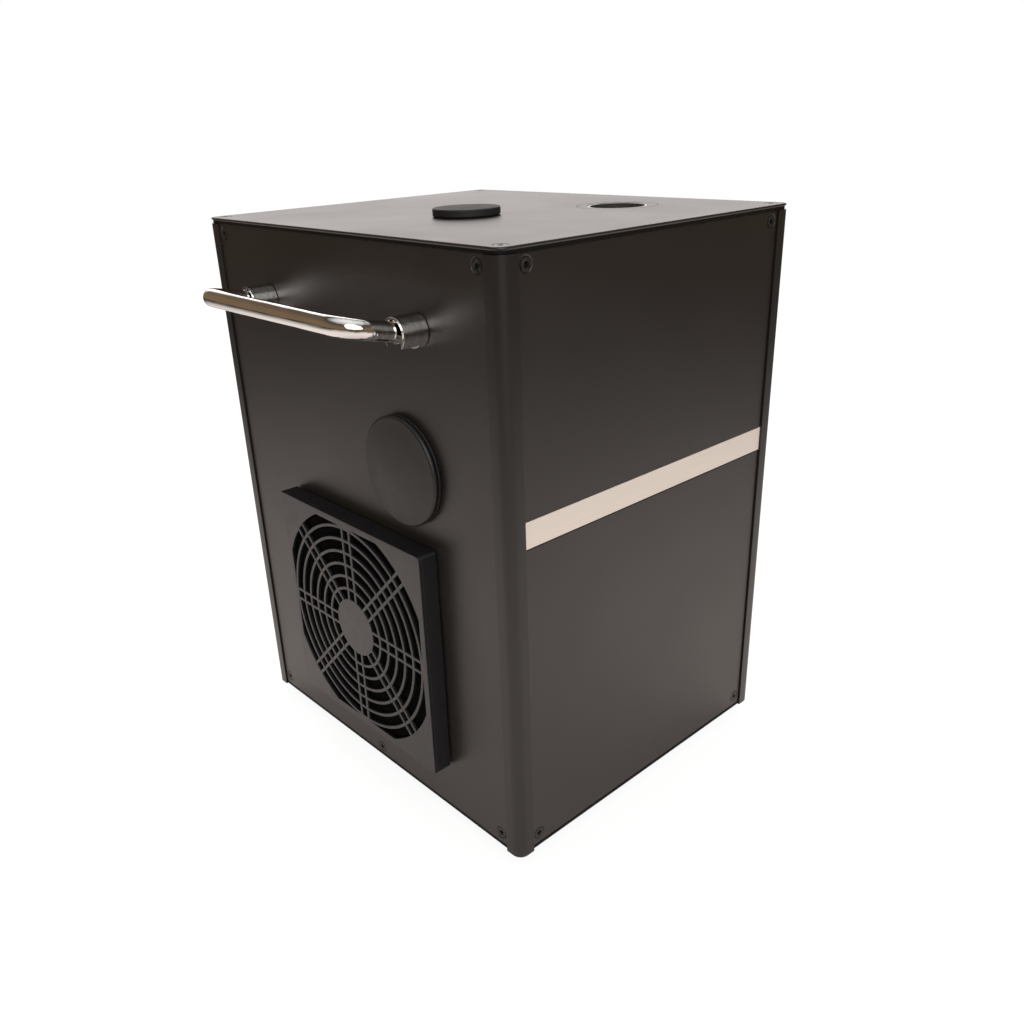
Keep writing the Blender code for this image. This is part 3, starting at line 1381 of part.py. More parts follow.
def make_core_bracket(cabinet):
    """A bent sheet table: it carries the heating tube, and the blower hangs under it."""
    sheet = BRACKET_THICKNESS
    half = BRACKET_DEPTH / 2
    low_y, high_y = NOZZLE_Y - half, NOZZLE_Y + half
    top = box_shape(
        (BRACKET_LEFT_X, low_y, BRACKET_TOP_Z - sheet), (BRACKET_RIGHT_X, high_y, BRACKET_TOP_Z)
    )
    bracket = make_piece(cabinet, "core_bracket", top, STEEL)
    for x, outward in ((BRACKET_LEFT_X, -1), (BRACKET_RIGHT_X, 1)):
        inner = x - outward * sheet
        leg_low = (min(x, inner), low_y, BRACKET_FOOT_Z)
        leg_high = (max(x, inner), high_y, BRACKET_TOP_Z - sheet / 2)
        join(bracket, box_shape(leg_low, leg_high))
        foot_end = x + outward * BRACKET_FOOT
        foot_low = (min(inner, foot_end), low_y, BRACKET_FOOT_Z)
        join(bracket, box_shape(foot_low, (max(inner, foot_end), high_y, BRACKET_FOOT_Z + sheet)))
    low_z = BRACKET_TOP_Z - 2 * sheet
    combine(bracket, rod_shape(NOZZLE_BORE_RADIUS, low_z, BRACKET_TOP_Z + FIT, core_place(), 24))


# Blower


def blower_place():
    """Local x to the cabinet's right, y up and z to its front, from the rotor's middle."""
    place = Matrix(((1, 0, 0), (0, 0, 1), (0, -1, 0))).transposed().to_4x4()
    place.translation = Vector((BLOWER_X, NOZZLE_Y, BLOWER_Z))
    return place


def scroll_outline(inset, top):
    """The snail outline: round from its outlet wall to the tongue, then up both outlet walls."""
    steps = 20
    turn = math.radians(300)
    taper = BLOWER_OUTLET_RADIUS - BLOWER_TONGUE_RADIUS
    points = []
    for i in range(steps + 1):
        angle = -turn * i / steps
        reach = BLOWER_OUTLET_RADIUS - taper * i / steps - inset
        points.append((reach * math.cos(angle), reach * math.sin(angle)))
    outlet_left = BLOWER_OUTLET_RADIUS - BLOWER_OUTLET_WIDTH + inset
    points.append((outlet_left, points[-1][1] + BLOWER_WALL))
    points.append((outlet_left, top))
    points.append((BLOWER_OUTLET_RADIUS - inset, top))
    return list(reversed(points))


def make_blower(cabinet):
    place = blower_place()
    half = BLOWER_WIDTH / 2
    top = BRACKET_TOP_Z - BRACKET_THICKNESS - FIT - BLOWER_Z
    outer = scroll_outline(0.0, top)
    shell = shaped(lambda shape: add_prism(shape, outer, -half, half), place)
    housing = make_piece(cabinet, "blower_housing", shell, BLACK_PLASTIC)
    boss = rod_shape(BLOWER_BOSS_RADIUS, -half - BLOWER_BOSS_LENGTH, -half + FIT, place, 20)
    join(housing, boss)
    inner = scroll_outline(BLOWER_WALL, top + FIT)
    inside = half - BLOWER_WALL
    combine(housing, shaped(lambda shape: add_prism(shape, inner, -inside, inside), place))
    combine(housing, rod_shape(BLOWER_INLET_RADIUS, 0.0, half + FIT, place, 24))
    bore_end = -half - BLOWER_BOSS_LENGTH + BLOWER_WALL
    combine(housing, rod_shape(IMPELLER_SHAFT_RADIUS + FIT, bore_end, 0.0, place, 12))
    make_impeller(cabinet, place, inside, bore_end)


def make_impeller(cabinet, place, inside, bore_end):
    """A back disc and hub on a shaft, a ring of blades, and a hoop round their front ends."""
    back = -inside + 2 * FIT
    front = back + IMPELLER_WIDTH
    sheet = IMPELLER_SHEET
    profile = [
        (IMPELLER_SHAFT_RADIUS, bore_end + FIT),
        (IMPELLER_SHAFT_RADIUS, back),
        (IMPELLER_RADIUS, back),
        (IMPELLER_RADIUS, back + sheet),
        (IMPELLER_HUB_RADIUS, back + sheet),
        (IMPELLER_HUB_RADIUS - sheet / 2, back + IMPELLER_WIDTH / 2),
    ]
    disc = turned_shape(profile, place, 20)
    impeller = make_piece(cabinet, "blower_impeller", disc, BLACK_PLASTIC, place.translation)
    blades = []
    for i in range(IMPELLER_BLADES):
        turn = Matrix.Rotation(2 * math.pi * i / IMPELLER_BLADES, 4, "Z")
        tilt = Matrix.Rotation(math.radians(IMPELLER_LEAN), 4, "Z")
        lean = Matrix.Translation((IMPELLER_EYE_RADIUS, 0.0, 0.0)) @ tilt
        length = IMPELLER_RADIUS - IMPELLER_EYE_RADIUS - sheet / 2
        low = (0.0, -sheet / 2, back + sheet / 2)
        blades.append(box_shape(low, (length, sheet / 2, front - sheet / 2), place @ turn @ lean))
    join(impeller, many(blades))
    hoop_inner = IMPELLER_RADIUS - 3 * sheet
    hoop = [
        (hoop_inner, front - sheet), (IMPELLER_RADIUS, front - sheet),
        (IMPELLER_RADIUS, front), (hoop_inner, front),
    ]
    join(impeller, turned_shape(hoop, place, 20, tube=True))


# Control module on the rear panel


def bezel_place():
    return face_frame("rear") @ Matrix.Translation((0.0, BEZEL_Z, 0.0))


def button_offsets():
    middle = (BUTTONS - 1) / 2
    return [(i - middle) * BUTTON_PITCH for i in range(BUTTONS)]


def make_control_module(cabinet, rear_panel):
    place = bezel_place()
    cut_half_width = BEZEL_WIDTH / 2 - BEZEL_CUTOUT_MARGIN
    cut_half_height = BEZEL_HEIGHT / 2 - BEZEL_CUTOUT_MARGIN
    low = (-cut_half_width, -cut_half_height, -PANEL_THICKNESS - FIT)
    combine(rear_panel, box_shape(low, (cut_half_width, cut_half_height, FIT), place))
    front = FIT + BEZEL_THICKNESS
    outline = rounded_rectangle(BEZEL_WIDTH, BEZEL_HEIGHT, BEZEL_CORNER_RADIUS, 3)
    shape = shaped(lambda body: add_prism(body, outline, FIT, front), place)
    bezel = make_piece(cabinet, "control_bezel", shape, BLACK_PLASTIC)
    half_w, half_h = WINDOW_WIDTH / 2, WINDOW_HEIGHT / 2
    openings = [box_shape(
        (-half_w, WINDOW_OFFSET - half_h, 0.0), (half_w, WINDOW_OFFSET + half_h, front + FIT), place
    )]
    for u in button_offsets():
        spot = place @ Matrix.Translation((u, BUTTON_OFFSET, 0.0))
        openings.append(rod_shape(BUTTON_RADIUS + FIT, 0.0, front + FIT, spot, 12))
    combine(bezel, many(openings))
    window_top = front - FIT
    low = (-half_w + FIT, WINDOW_OFFSET - half_h + FIT, window_top - WINDOW_THICKNESS)
    high = (half_w - FIT, WINDOW_OFFSET + half_h - FIT, window_top)
    make_piece(cabinet, "display_window", box_shape(low, high, place), SMOKED_WINDOW)
    make_buttons(cabinet, place, front)
    make_display_board(cabinet, place)


def make_buttons(cabinet, place, bezel_front):
    lip_top = 0.0
    lip_bottom = -BUTTON_LIP_THICKNESS
    stem_end = -DISPLAY_BOARD_DEPTH + TACT_SWITCH_HEIGHT + BUTTON_TRAVEL + FIT
    crown = bezel_front + BUTTON_PROUD
    profile = [
        (BUTTON_STEM_RADIUS, stem_end),
        (BUTTON_STEM_RADIUS, lip_bottom),
        (BUTTON_LIP_RADIUS, lip_bottom),
        (BUTTON_LIP_RADIUS, lip_top),
        (BUTTON_RADIUS, lip_top),
        (BUTTON_RADIUS, crown),
    ]
    for number, u in enumerate(button_offsets(), start=1):
        spot = place @ Matrix.Translation((u, BUTTON_OFFSET, 0.0))
        seat = spot @ Vector((0.0, 0.0, crown))
        name = f"menu_button_{number}"
        make_piece(cabinet, name, turned_shape(profile, spot, 12), BLACK_PLASTIC, seat)


def make_display_board(cabinet, place):
    """The board with its digits and four tact switches, on posts against the panel."""
    face = -DISPLAY_BOARD_DEPTH
    back = face - DISPLAY_BOARD_THICKNESS
    half_w = BEZEL_WIDTH / 2 + DISPLAY_BOARD_OVERLAP
    half_h = BEZEL_HEIGHT / 2 + DISPLAY_BOARD_OVERLAP
    sheet = box_shape((-half_w, -half_h, back), (half_w, half_h, face), place)
    board = make_piece(cabinet, "display_board", sheet, CIRCUIT_BOARD)
    root = face - DISPLAY_BOARD_THICKNESS / 2
    digits_w = WINDOW_WIDTH / 2 - DIGITS_MARGIN
    digits_h = WINDOW_HEIGHT / 2 - DIGITS_DROP
    low = (-digits_w, WINDOW_OFFSET - digits_h, root)
    parts = [box_shape(low, (digits_w, WINDOW_OFFSET + digits_h, -DIGITS_DROP), place)]
    half = TACT_SWITCH_WIDTH / 2
    for u in button_offsets():
        low = (u - half, BUTTON_OFFSET - half, root)
        high = (u + half, BUTTON_OFFSET + half, face + TACT_SWITCH_HEIGHT)
        parts.append(box_shape(low, high, place))
    post_end = -PANEL_THICKNESS - FIT
    for a in (-1, 1):
        for b in (-1, 1):
            corner = (a * (half_w - DISPLAY_POST_INSET), b * (half_h - DISPLAY_POST_INSET), 0.0)
            spot = place @ Matrix.Translation(corner)
            parts.append(rod_shape(DISPLAY_POST_RADIUS, root, post_end, spot, 10))
    join(board, many(parts))


# Switch and sockets


def rear_spot(u):
    return face_frame("rear") @ Matrix.Translation((u, SOCKET_Z, 0.0))


def boxed(half_width, half_height, low, high, place):
    """A box centred on local z."""
    return box_shape((-half_width, -half_height, low), (half_width, half_height, high), place)


def make_power_switch(cabinet, rear_panel):
    """A framed well, and a dished rocker on a cross axle in it."""
    place = rear_spot(SWITCH_FROM_SIDE - HALF_WIDTH)
    body_w = SWITCH_WIDTH / 2 - SWITCH_RIM
    body_h = SWITCH_HEIGHT / 2 - SWITCH_RIM
    combine(rear_panel, boxed(body_w + FIT, body_h + FIT, -PANEL_THICKNESS - FIT, FIT, place))
    rim = boxed(SWITCH_WIDTH / 2, SWITCH_HEIGHT / 2, FIT, FIT + SWITCH_RIM, place)
    frame = make_piece(cabinet, "switch_frame", rim, BLACK_PLASTIC)
    join(frame, boxed(body_w, body_h, -SWITCH_DEPTH, 2 * FIT, place))
    well_w = body_w - SWITCH_WALL
    well_h = body_h - SWITCH_WALL
    combine(frame, boxed(well_w, well_h, -SWITCH_WELL_DEPTH, 2 * FIT + SWITCH_RIM, place))
    reach = well_h - ROCKER_END_GAP
    crest = FIT + ROCKER_CREST + ROCKER_AXLE_DEPTH
    dish = ROCKER_AXLE_DEPTH - ROCKER_DISH
    # The outline's points are (height, depth), so its prism is turned on its side
    outline = [
        (-reach, -ROCKER_SKIRT), (reach, -ROCKER_SKIRT), (reach, crest), (0.0, dish), (-reach, crest)
    ]
    stand = Matrix(((0, 0, 1), (1, 0, 0), (0, 1, 0))).to_4x4()
    tilt = Matrix.Rotation(math.radians(-ROCKER_TILT), 4, "X")
    pivot = place @ Matrix.Translation((0.0, 0.0, -ROCKER_AXLE_DEPTH))
    half = well_w - FIT
    shape = shaped(lambda body: add_prism(body, outline, -half, half), pivot @ tilt @ stand)
    rocker = make_piece(cabinet, "power_rocker", shape, BLACK_PLASTIC, pivot.translation)
    axle_place = pivot @ Matrix.Rotation(math.pi / 2, 4, "Y")
    end = body_w - ROCKER_AXLE_INSET
    join(rocker, rod_shape(ROCKER_AXLE_RADIUS, -end, end, axle_place, 10))
    hole_end = end + FIT / 2
    combine(frame, rod_shape(ROCKER_AXLE_RADIUS + FIT, -hole_end, hole_end, axle_place, 10))


def make_mains_inlet(cabinet, rear_panel):
    """A three-pole inlet: a flanged box with a well and three blades in it."""
    place = rear_spot(INLET_FROM_SIDE - HALF_WIDTH)
    body_w = INLET_BODY_WIDTH / 2
    body_h = INLET_HEIGHT / 2 - INLET_BODY_MARGIN
    combine(rear_panel, boxed(body_w + FIT, body_h + FIT, -PANEL_THICKNESS - FIT, FIT, place))
    outline = rounded_rectangle(INLET_WIDTH, INLET_HEIGHT, SOCKET_CORNER_RADIUS, 3)
    top = FIT + SOCKET_FLANGE
    shape = shaped(lambda body: add_prism(body, outline, FIT, top), place)
    inlet = make_piece(cabinet, "mains_inlet", shape, BLACK_PLASTIC)
    join(inlet, boxed(body_w, body_h, -INLET_DEPTH, 2 * FIT, place))
    floor = top - INLET_CAVITY_DEPTH
    combine(inlet, boxed(body_w - INLET_WALL, body_h - INLET_WALL, floor, top + FIT, place))
    pins = []
    for across, rise in ((-1, -1), (0, 1), (1, -1)):
        corner = (across * INLET_PIN_PITCH, rise * INLET_PIN_OFFSET, 0.0)
        spot = place @ Matrix.Translation(corner)
        half_w, half_h = INLET_PIN_WIDTH / 2, INLET_PIN_HEIGHT / 2
        pins.append(boxed(half_w, half_h, floor - FIT, top - INLET_PIN_DROP, spot))
    join(inlet, many(pins))
    ears = []
    for sign in (-1, 1):
        spot = place @ Matrix.Translation((sign * INLET_SCREW_PITCH / 2, 0.0, 0.0))
        ears.append(rod_shape(SCREW_HOLE_RADIUS, 0.0, top + FIT, spot, 10))
    combine(inlet, many(ears))


def make_signal_socket(cabinet, rear_panel, name, u, has_pins):
    """A round three-pole socket on a square flange, with pins or with holes for them."""
    place = rear_spot(u)
    combine(rear_panel, panel_hole("rear", u, SOCKET_Z, SIGNAL_RADIUS + FIT, 20))
    top = FIT + SOCKET_FLANGE
    outline = rounded_rectangle(SIGNAL_WIDTH, SIGNAL_HEIGHT, SOCKET_CORNER_RADIUS, 3)
    shape = shaped(lambda body: add_prism(body, outline, FIT, top), place)
    socket = make_piece(cabinet, name, shape, STEEL)
    join(socket, rod_shape(SIGNAL_RADIUS, -SIGNAL_DEPTH, 2 * FIT, place, 20))
    floor = top - SIGNAL_CAVITY_DEPTH
    spots = []
    for degrees in (30, 150, 270):
        turn = Matrix.Rotation(math.radians(degrees), 4, "Z")
        spots.append(place @ turn @ Matrix.Translation((SIGNAL_PIN_CIRCLE, 0.0, 0.0)))
    if has_pins:
        combine(socket, rod_shape(SIGNAL_CAVITY_RADIUS, floor, top + FIT, place, 20))
        end = top - SIGNAL_PIN_DROP
        pins = [rod_shape(SIGNAL_PIN_RADIUS, floor - FIT, end, spot, 6) for spot in spots]
        join(socket, many(pins))
    else:
        inner = SIGNAL_CAVITY_RADIUS - SIGNAL_GROOVE
        groove = [
            (inner, floor), (SIGNAL_CAVITY_RADIUS, floor),
            (SIGNAL_CAVITY_RADIUS, top + FIT), (inner, top + FIT),
        ]
        combine(socket, turned_shape(groove, place, 16, tube=True))
        hole = SIGNAL_PIN_RADIUS + SIGNAL_PIN_PLAY
        combine(socket, many([rod_shape(hole, floor, top + FIT, spot, 6) for spot in spots]))
    ears = []
    for sign in (-1, 1):
        corner = (sign * SIGNAL_SCREW_ACROSS, sign * SIGNAL_SCREW_RISE, 0.0)
        spot = place @ Matrix.Translation(corner)
        ears.append(rod_shape(SCREW_HOLE_RADIUS, 0.0, top + FIT, spot, 8))
    combine(socket, many(ears))


# Electronics


def make_power_supply(cabinet):
    """A sheet metal box on the right panel, with its terminal ledge at the bottom."""
    right = HALF_WIDTH - PANEL_RECESS - PANEL_THICKNESS - FIT
    left = right - SUPPLY_WIDTH
    back = HALF_DEPTH - POST_FACE - POST_FLANGE - SUPPLY_POST_GAP
    front = back - SUPPLY_DEPTH
    low_z = BASE_Z + SUPPLY_RISE
    box = box_shape((left, front, low_z), (right, back, low_z + SUPPLY_HEIGHT))
    supply = make_piece(cabinet, "power_supply", box, ALUMINIUM)
    ledge = right - SUPPLY_LEDGE
    ledge_z = low_z + SUPPLY_LEDGE
    notch = box_shape((left - FIT, front - FIT, low_z - FIT), (ledge, back + FIT, ledge_z))
    combine(supply, notch)
    terminals = box_shape(
        (left + TERMINAL_SETBACK, front + TERMINAL_MARGIN, ledge_z - TERMINAL_DROP),
        (ledge + FIT, back - TERMINAL_MARGIN, ledge_z + FIT),
    )
    join(supply, terminals)


def make_control_board(cabinet):
    """The driver board on four standoffs, with its heat sink, capacitors and relays."""
    floor = PLATE_TOP_Z + FIT
    bottom = floor + BOARD_STANDOFF
    top = bottom + BOARD_THICKNESS
    half_w, half_d = BOARD_WIDTH / 2, BOARD_DEPTH / 2
    centre_y = HALF_DEPTH - BOARD_FROM_REAR - half_d
    place = Matrix.Translation((BOARD_CENTRE_X, centre_y, 0.0))
    sheet = box_shape((-half_w, -half_d, bottom), (half_w, half_d, top), place)
    board = make_piece(cabinet, "control_board", sheet, CIRCUIT_BOARD)
    root = bottom + BOARD_THICKNESS / 2
    edge_x = half_w - COMPONENT_MARGIN
    edge_y = half_d - COMPONENT_MARGIN
    parts = []
    for a in (-1, 1):
        for b in (-1, 1):
            corner = (a * (half_w - STANDOFF_INSET), b * (half_d - STANDOFF_INSET), 0.0)
            spot = place @ Matrix.Translation(corner)
            parts.append(rod_shape(STANDOFF_RADIUS, floor, root, spot, 8))
    for i in range(CAPACITORS):
        x = CAPACITOR_RADIUS - edge_x + CAPACITOR_PITCH * i
        spot = place @ Matrix.Translation((x, edge_y - CAPACITOR_RADIUS, 0.0))
        parts.append(rod_shape(CAPACITOR_RADIUS, root, top + CAPACITOR_HEIGHT, spot, 10))
    for i in range(RELAYS):
        y = RELAY_PITCH * i - edge_y
        low = (edge_x - RELAY_SIZE, y, root)
        parts.append(box_shape(low, (edge_x, y + RELAY_SIZE, top + RELAY_HEIGHT), place))
    low = (-edge_x, -edge_y, root)
    parts.append(box_shape(low, (SINK_WIDTH - edge_x, SINK_DEPTH - edge_y, top + SINK_BASE), place))
    join(board, many(parts))
    first_fin = (SINK_WIDTH - (FINS - 1) * FIN_PITCH - FIN_THICKNESS) / 2 - edge_x
    fin_top = top + SINK_BASE + FIN_HEIGHT
    fins = []
    for i in range(FINS):
        x = first_fin + FIN_PITCH * i
        low = (x, FIT - edge_y, top + SINK_BASE / 2)
        high = (x + FIN_THICKNESS, SINK_DEPTH - FIT - edge_y, fin_top)
        fins.append(box_shape(low, high, place))
    join(board, many(fins))


def main():
    clear_scene()
    cabinet = bpy.data.objects.new("cabinet", None)
    cabinet.location = (0.0, CABINET_SHIFT_Y, 0.0)
    bpy.context.scene.collection.objects.link(cabinet)
    bpy.context.view_layer.update()

    panels = {side: make_panel(cabinet, side) for side in FACES}
    for name, sign_x, sign_y in corner_places():
        make_corner_post(cabinet, name, sign_x, sign_y)
        make_foot(cabinet, name, sign_x, sign_y)
    make_top_plate(cabinet)
    make_bottom_plate(cabinet)
    make_front_stripe(cabinet, panels["front"])
    cut_vents(panels["right"])

    for side in ("left", "right"):
        make_handle(cabinet, side, panels[side])

    duct = rod_shape(FAN_DUCT_RADIUS, -PANEL_THICKNESS - FIT, FIT, fan_place(), 32)
    port = panel_hole("left", -PORT_Y, PORT_Z, PORT_HOLE_RADIUS, 28)
    combine(panels["left"], many([duct, port] + fan_screw_holes(-PANEL_THICKNESS - FIT, FIT)))
    make_fan_guard(cabinet)
    make_fan_guard_base(cabinet)
    make_fan_filter(cabinet)
    make_fan_housing(cabinet)
    make_fan_rotor(cabinet)
    make_side_port(cabinet)

    make_filler(cabinet)
    make_hopper(cabinet)
    make_feed_tube(cabinet)
    make_feed_screw(cabinet)
    make_feed_motor(cabinet)
    make_nozzle(cabinet)
    make_heating_tube(cabinet)
    make_sleeve_and_coil(cabinet)
    make_core_bracket(cabinet)
    make_blower(cabinet)

    rear_panel = panels["rear"]
    make_control_module(cabinet, rear_panel)
    make_power_switch(cabinet, rear_panel)
    make_mains_inlet(cabinet, rear_panel)
    input_u = HALF_WIDTH - SIGNAL_INPUT_FROM_SIDE
    output_u = HALF_WIDTH - SIGNAL_OUTPUT_FROM_SIDE
    make_signal_socket(cabinet, rear_panel, "signal_input", input_u, True)
    make_signal_socket(cabinet, rear_panel, "signal_output", output_u, False)
    make_power_supply(cabinet)
    make_control_board(cabinet)


main()
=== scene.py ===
import math

import bmesh
import bpy
from mathutils import Matrix, Vector


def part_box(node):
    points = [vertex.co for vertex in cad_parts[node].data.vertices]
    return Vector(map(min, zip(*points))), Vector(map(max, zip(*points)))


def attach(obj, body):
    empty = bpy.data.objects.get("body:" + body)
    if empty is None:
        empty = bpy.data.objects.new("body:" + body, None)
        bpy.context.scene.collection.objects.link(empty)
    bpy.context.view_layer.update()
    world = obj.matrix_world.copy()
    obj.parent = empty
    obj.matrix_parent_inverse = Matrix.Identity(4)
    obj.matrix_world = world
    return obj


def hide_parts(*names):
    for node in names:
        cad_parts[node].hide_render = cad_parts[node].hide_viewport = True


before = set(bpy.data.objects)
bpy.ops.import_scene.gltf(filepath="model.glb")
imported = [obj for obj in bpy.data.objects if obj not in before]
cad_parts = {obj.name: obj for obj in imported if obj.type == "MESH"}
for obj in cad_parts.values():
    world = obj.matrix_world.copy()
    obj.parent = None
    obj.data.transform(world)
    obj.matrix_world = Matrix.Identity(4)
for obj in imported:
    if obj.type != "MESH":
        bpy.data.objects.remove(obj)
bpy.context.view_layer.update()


# Camera
# The photograph was taken from above the corner between the fan side and the striped front,
# with a short lens held a little out of level.

VIEWPOINT = (-0.33735, -0.38194, 0.34712)
VIEW_TURNS = (66.1833, 2.0336, -42.527)

camera = bpy.data.cameras.new("photo_camera")
camera.sensor_width = 36
camera.lens = 32.547
camera.shift_x = 0.0113
camera.shift_y = 0.0124
camera.clip_start = 0.01
viewpoint = bpy.data.objects.new("photo_camera", camera)
viewpoint.location = VIEWPOINT
viewpoint.rotation_euler = [math.radians(turn) for turn in VIEW_TURNS]
bpy.context.scene.collection.objects.link(viewpoint)
bpy.context.scene.camera = viewpoint
bpy.context.scene.view_settings.view_transform = "Standard"


# Studio
# The machine stands on white paper whose colour is painted to fade from pale near it to near black a
# short way off, a painted pool of light, so its satin sides mirror a bright floor near their feet and
# a dark one towards their tops. A lit sweep behind the machine shows in the top plate.

PAPER_WHITE = (0.95, 0.87, 0.84)
FLOOR_RADIUS = 2.4
FLOOR_PAINTED_FALLOFF = {
    0.0: 0.92, 0.2: 0.82, 0.3: 0.76, 0.45: 0.72, 0.7: 0.48, 1.0: 0.21, 1.5: 0.07, FLOOR_RADIUS: 0.02
}
FLOOR_GLOW = 1.06
FLOOR_SHADOW = 0.16
ROOM_SHADES = {0.3: (0.19, 0.125, 0.073), 0.72: (0.06, 0.055, 0.05), 1.0: (1.0, 1.0, 1.0)}
SWEEP_WHITE = (1.9, 1.76, 1.72)
SWEEP_TOWARDS = (0.65, 0.72, 0.25)
SWEEP_EDGE = (0.8, 0.93)
SWEEP_FOOT = (0.0, 0.14)
LIGHT_COLOUR = (1.0, 0.97, 0.94)
AMBIENT_LIGHT = 0.7
OVERHEAD_LIGHT = 26
FRONT_LIGHT = 22


def new_tree(owner):
    owner.use_nodes = True
    owner.node_tree.nodes.clear()
    return owner.node_tree


def new_node(tree, kind, operation=None):
    node = tree.nodes.new(kind)
    if operation:
        node.operation = operation
    return node


def wire(tree, start, end):
    tree.links.new(start, end)


def shades(tree, amount, stops):
    """A ramp of colours, each at its position from 0 to 1."""
    ramp = new_node(tree, "ShaderNodeValToRGB")
    while len(ramp.color_ramp.elements) < len(stops):
        ramp.color_ramp.elements.new(0.5)
    for stop, (position, colour) in zip(ramp.color_ramp.elements, stops.items()):
        stop.position = position
        stop.color = (*colour, 1.0)
    wire(tree, amount, ramp.inputs["Fac"])
    return ramp.outputs["Color"]


def mixed(tree, share, first, second):
    """The first shader, with the second in its place by a share."""
    mix = new_node(tree, "ShaderNodeMixShader")
    if isinstance(share, float):
        mix.inputs["Fac"].default_value = share
    else:
        wire(tree, share, mix.inputs["Fac"])
    wire(tree, first, mix.inputs[1])
    wire(tree, second, mix.inputs[2])
    return mix.outputs["Shader"]


floor_paper = bpy.data.materials.new("floor_paper")
tree = new_tree(floor_paper)
place = new_node(tree, "ShaderNodeTexCoord")
reach = new_node(tree, "ShaderNodeVectorMath", "LENGTH")
wire(tree, place.outputs["Object"], reach.inputs[0])
reach_share = new_node(tree, "ShaderNodeMath", "DIVIDE")
reach_share.inputs[1].default_value = FLOOR_RADIUS
wire(tree, reach.outputs["Value"], reach_share.inputs[0])
# Painted light: the paper's colour darkens with distance from the machine, a painted pool of light
# that the satin sides mirror.
paper_painted_falloff = shades(tree, reach_share.outputs["Value"], {
    distance / FLOOR_RADIUS: [tone * channel for channel in PAPER_WHITE]
    for distance, tone in FLOOR_PAINTED_FALLOFF.items()
})
bounce = new_node(tree, "ShaderNodeBsdfDiffuse")
wire(tree, paper_painted_falloff, bounce.inputs["Color"])
shadow_catch = new_node(tree, "ShaderNodeBsdfDiffuse")
shadow_catch.inputs["Color"].default_value = (1.0, 1.0, 1.0, 1.0)
white = new_node(tree, "ShaderNodeEmission")
white.inputs["Strength"].default_value = FLOOR_GLOW
seen_floor = mixed(
    tree, FLOOR_SHADOW, white.outputs["Emission"], shadow_catch.outputs["BSDF"]
)
ray = new_node(tree, "ShaderNodeLightPath")
paper = mixed(tree, ray.outputs["Is Camera Ray"], bounce.outputs["BSDF"], seen_floor)
paper_out = new_node(tree, "ShaderNodeOutputMaterial")
wire(tree, paper, paper_out.inputs["Surface"])

bpy.ops.object.select_all(action="DESELECT")
bpy.ops.mesh.primitive_circle_add(vertices=96, radius=FLOOR_RADIUS, fill_type="NGON")
floor = bpy.context.object
floor.name = "studio_floor"
floor.data.materials.append(floor_paper)


def smooth_step(tree, amount, low, high):
    """From 0 to 1, as an amount goes from low to high."""
    step = new_node(tree, "ShaderNodeMapRange")
    step.interpolation_type = "SMOOTHSTEP"
    step.inputs["From Min"].default_value = low
    step.inputs["From Max"].default_value = high
    wire(tree, amount, step.inputs["Value"])
    return step.outputs["Result"]


def glow(tree, colour, strength=1.0):
    light = new_node(tree, "ShaderNodeBackground")
    light.inputs["Strength"].default_value = strength
    if isinstance(colour, tuple):
        light.inputs["Color"].default_value = (*colour, 1.0)
    else:
        wire(tree, colour, light.inputs["Color"])
    return light.outputs["Background"]


room = bpy.data.worlds.new("studio_room")
bpy.context.scene.world = room
tree = new_tree(room)
ray = new_node(tree, "ShaderNodeLightPath")
place = new_node(tree, "ShaderNodeTexCoord")
split = new_node(tree, "ShaderNodeSeparateXYZ")
wire(tree, place.outputs["Generated"], split.inputs["Vector"])
sweep_side = new_node(tree, "ShaderNodeVectorMath", "DOT_PRODUCT")
sweep_side.inputs[1].default_value = SWEEP_TOWARDS
wire(tree, place.outputs["Generated"], sweep_side.inputs[0])
sweep = new_node(tree, "ShaderNodeMath", "MULTIPLY")
wire(tree, smooth_step(tree, sweep_side.outputs["Value"], *SWEEP_EDGE), sweep.inputs[0])
wire(tree, smooth_step(tree, split.outputs["Z"], *SWEEP_FOOT), sweep.inputs[1])
mirrored_room = new_node(tree, "ShaderNodeMix")
mirrored_room.data_type = "RGBA"
wire(tree, sweep.outputs["Value"], mirrored_room.inputs["Factor"])
wire(tree, shades(tree, split.outputs["Z"], ROOM_SHADES), mirrored_room.inputs[6])
mirrored_room.inputs[7].default_value = (*SWEEP_WHITE, 1.0)
ambient = glow(tree, LIGHT_COLOUR, AMBIENT_LIGHT)
reflected = glow(tree, mirrored_room.outputs[2])
unseen_room = mixed(tree, ray.outputs["Is Glossy Ray"], ambient, reflected)
straight = new_node(tree, "ShaderNodeMath", "MAXIMUM")
wire(tree, ray.outputs["Is Camera Ray"], straight.inputs[0])
wire(tree, ray.outputs["Is Transmission Ray"], straight.inputs[1])
backdrop = glow(tree, (1.0, 1.0, 1.0))
whole_room = mixed(tree, straight.outputs["Value"], unseen_room, backdrop)
room_out = new_node(tree, "ShaderNodeOutputWorld")
wire(tree, whole_room, room_out.inputs["Surface"])


def soft_light(name, power, size, at, towards, mirrored):
    lamp = bpy.data.lights.new(name, "AREA")
    lamp.shape = "DISK"
    lamp.size = size
    lamp.energy = power
    lamp.color = LIGHT_COLOUR
    stand = bpy.data.objects.new(name, lamp)
    stand.location = at
    stand.rotation_euler = (Vector(towards) - Vector(at)).to_track_quat("-Z", "Y").to_euler()
    stand.visible_glossy = mirrored
    bpy.context.scene.collection.objects.link(stand)


soft_light(
    "overhead_light", OVERHEAD_LIGHT, size=1.8, at=(0.5, 0.7, 1.9), towards=(0.0, 0.0, 0.1),
    mirrored=False,
)
soft_light(
    "front_light", FRONT_LIGHT, size=1.9, at=(-0.9, -1.5, 1.3), towards=(0.0, 0.0, 0.15),
    mirrored=True,
)
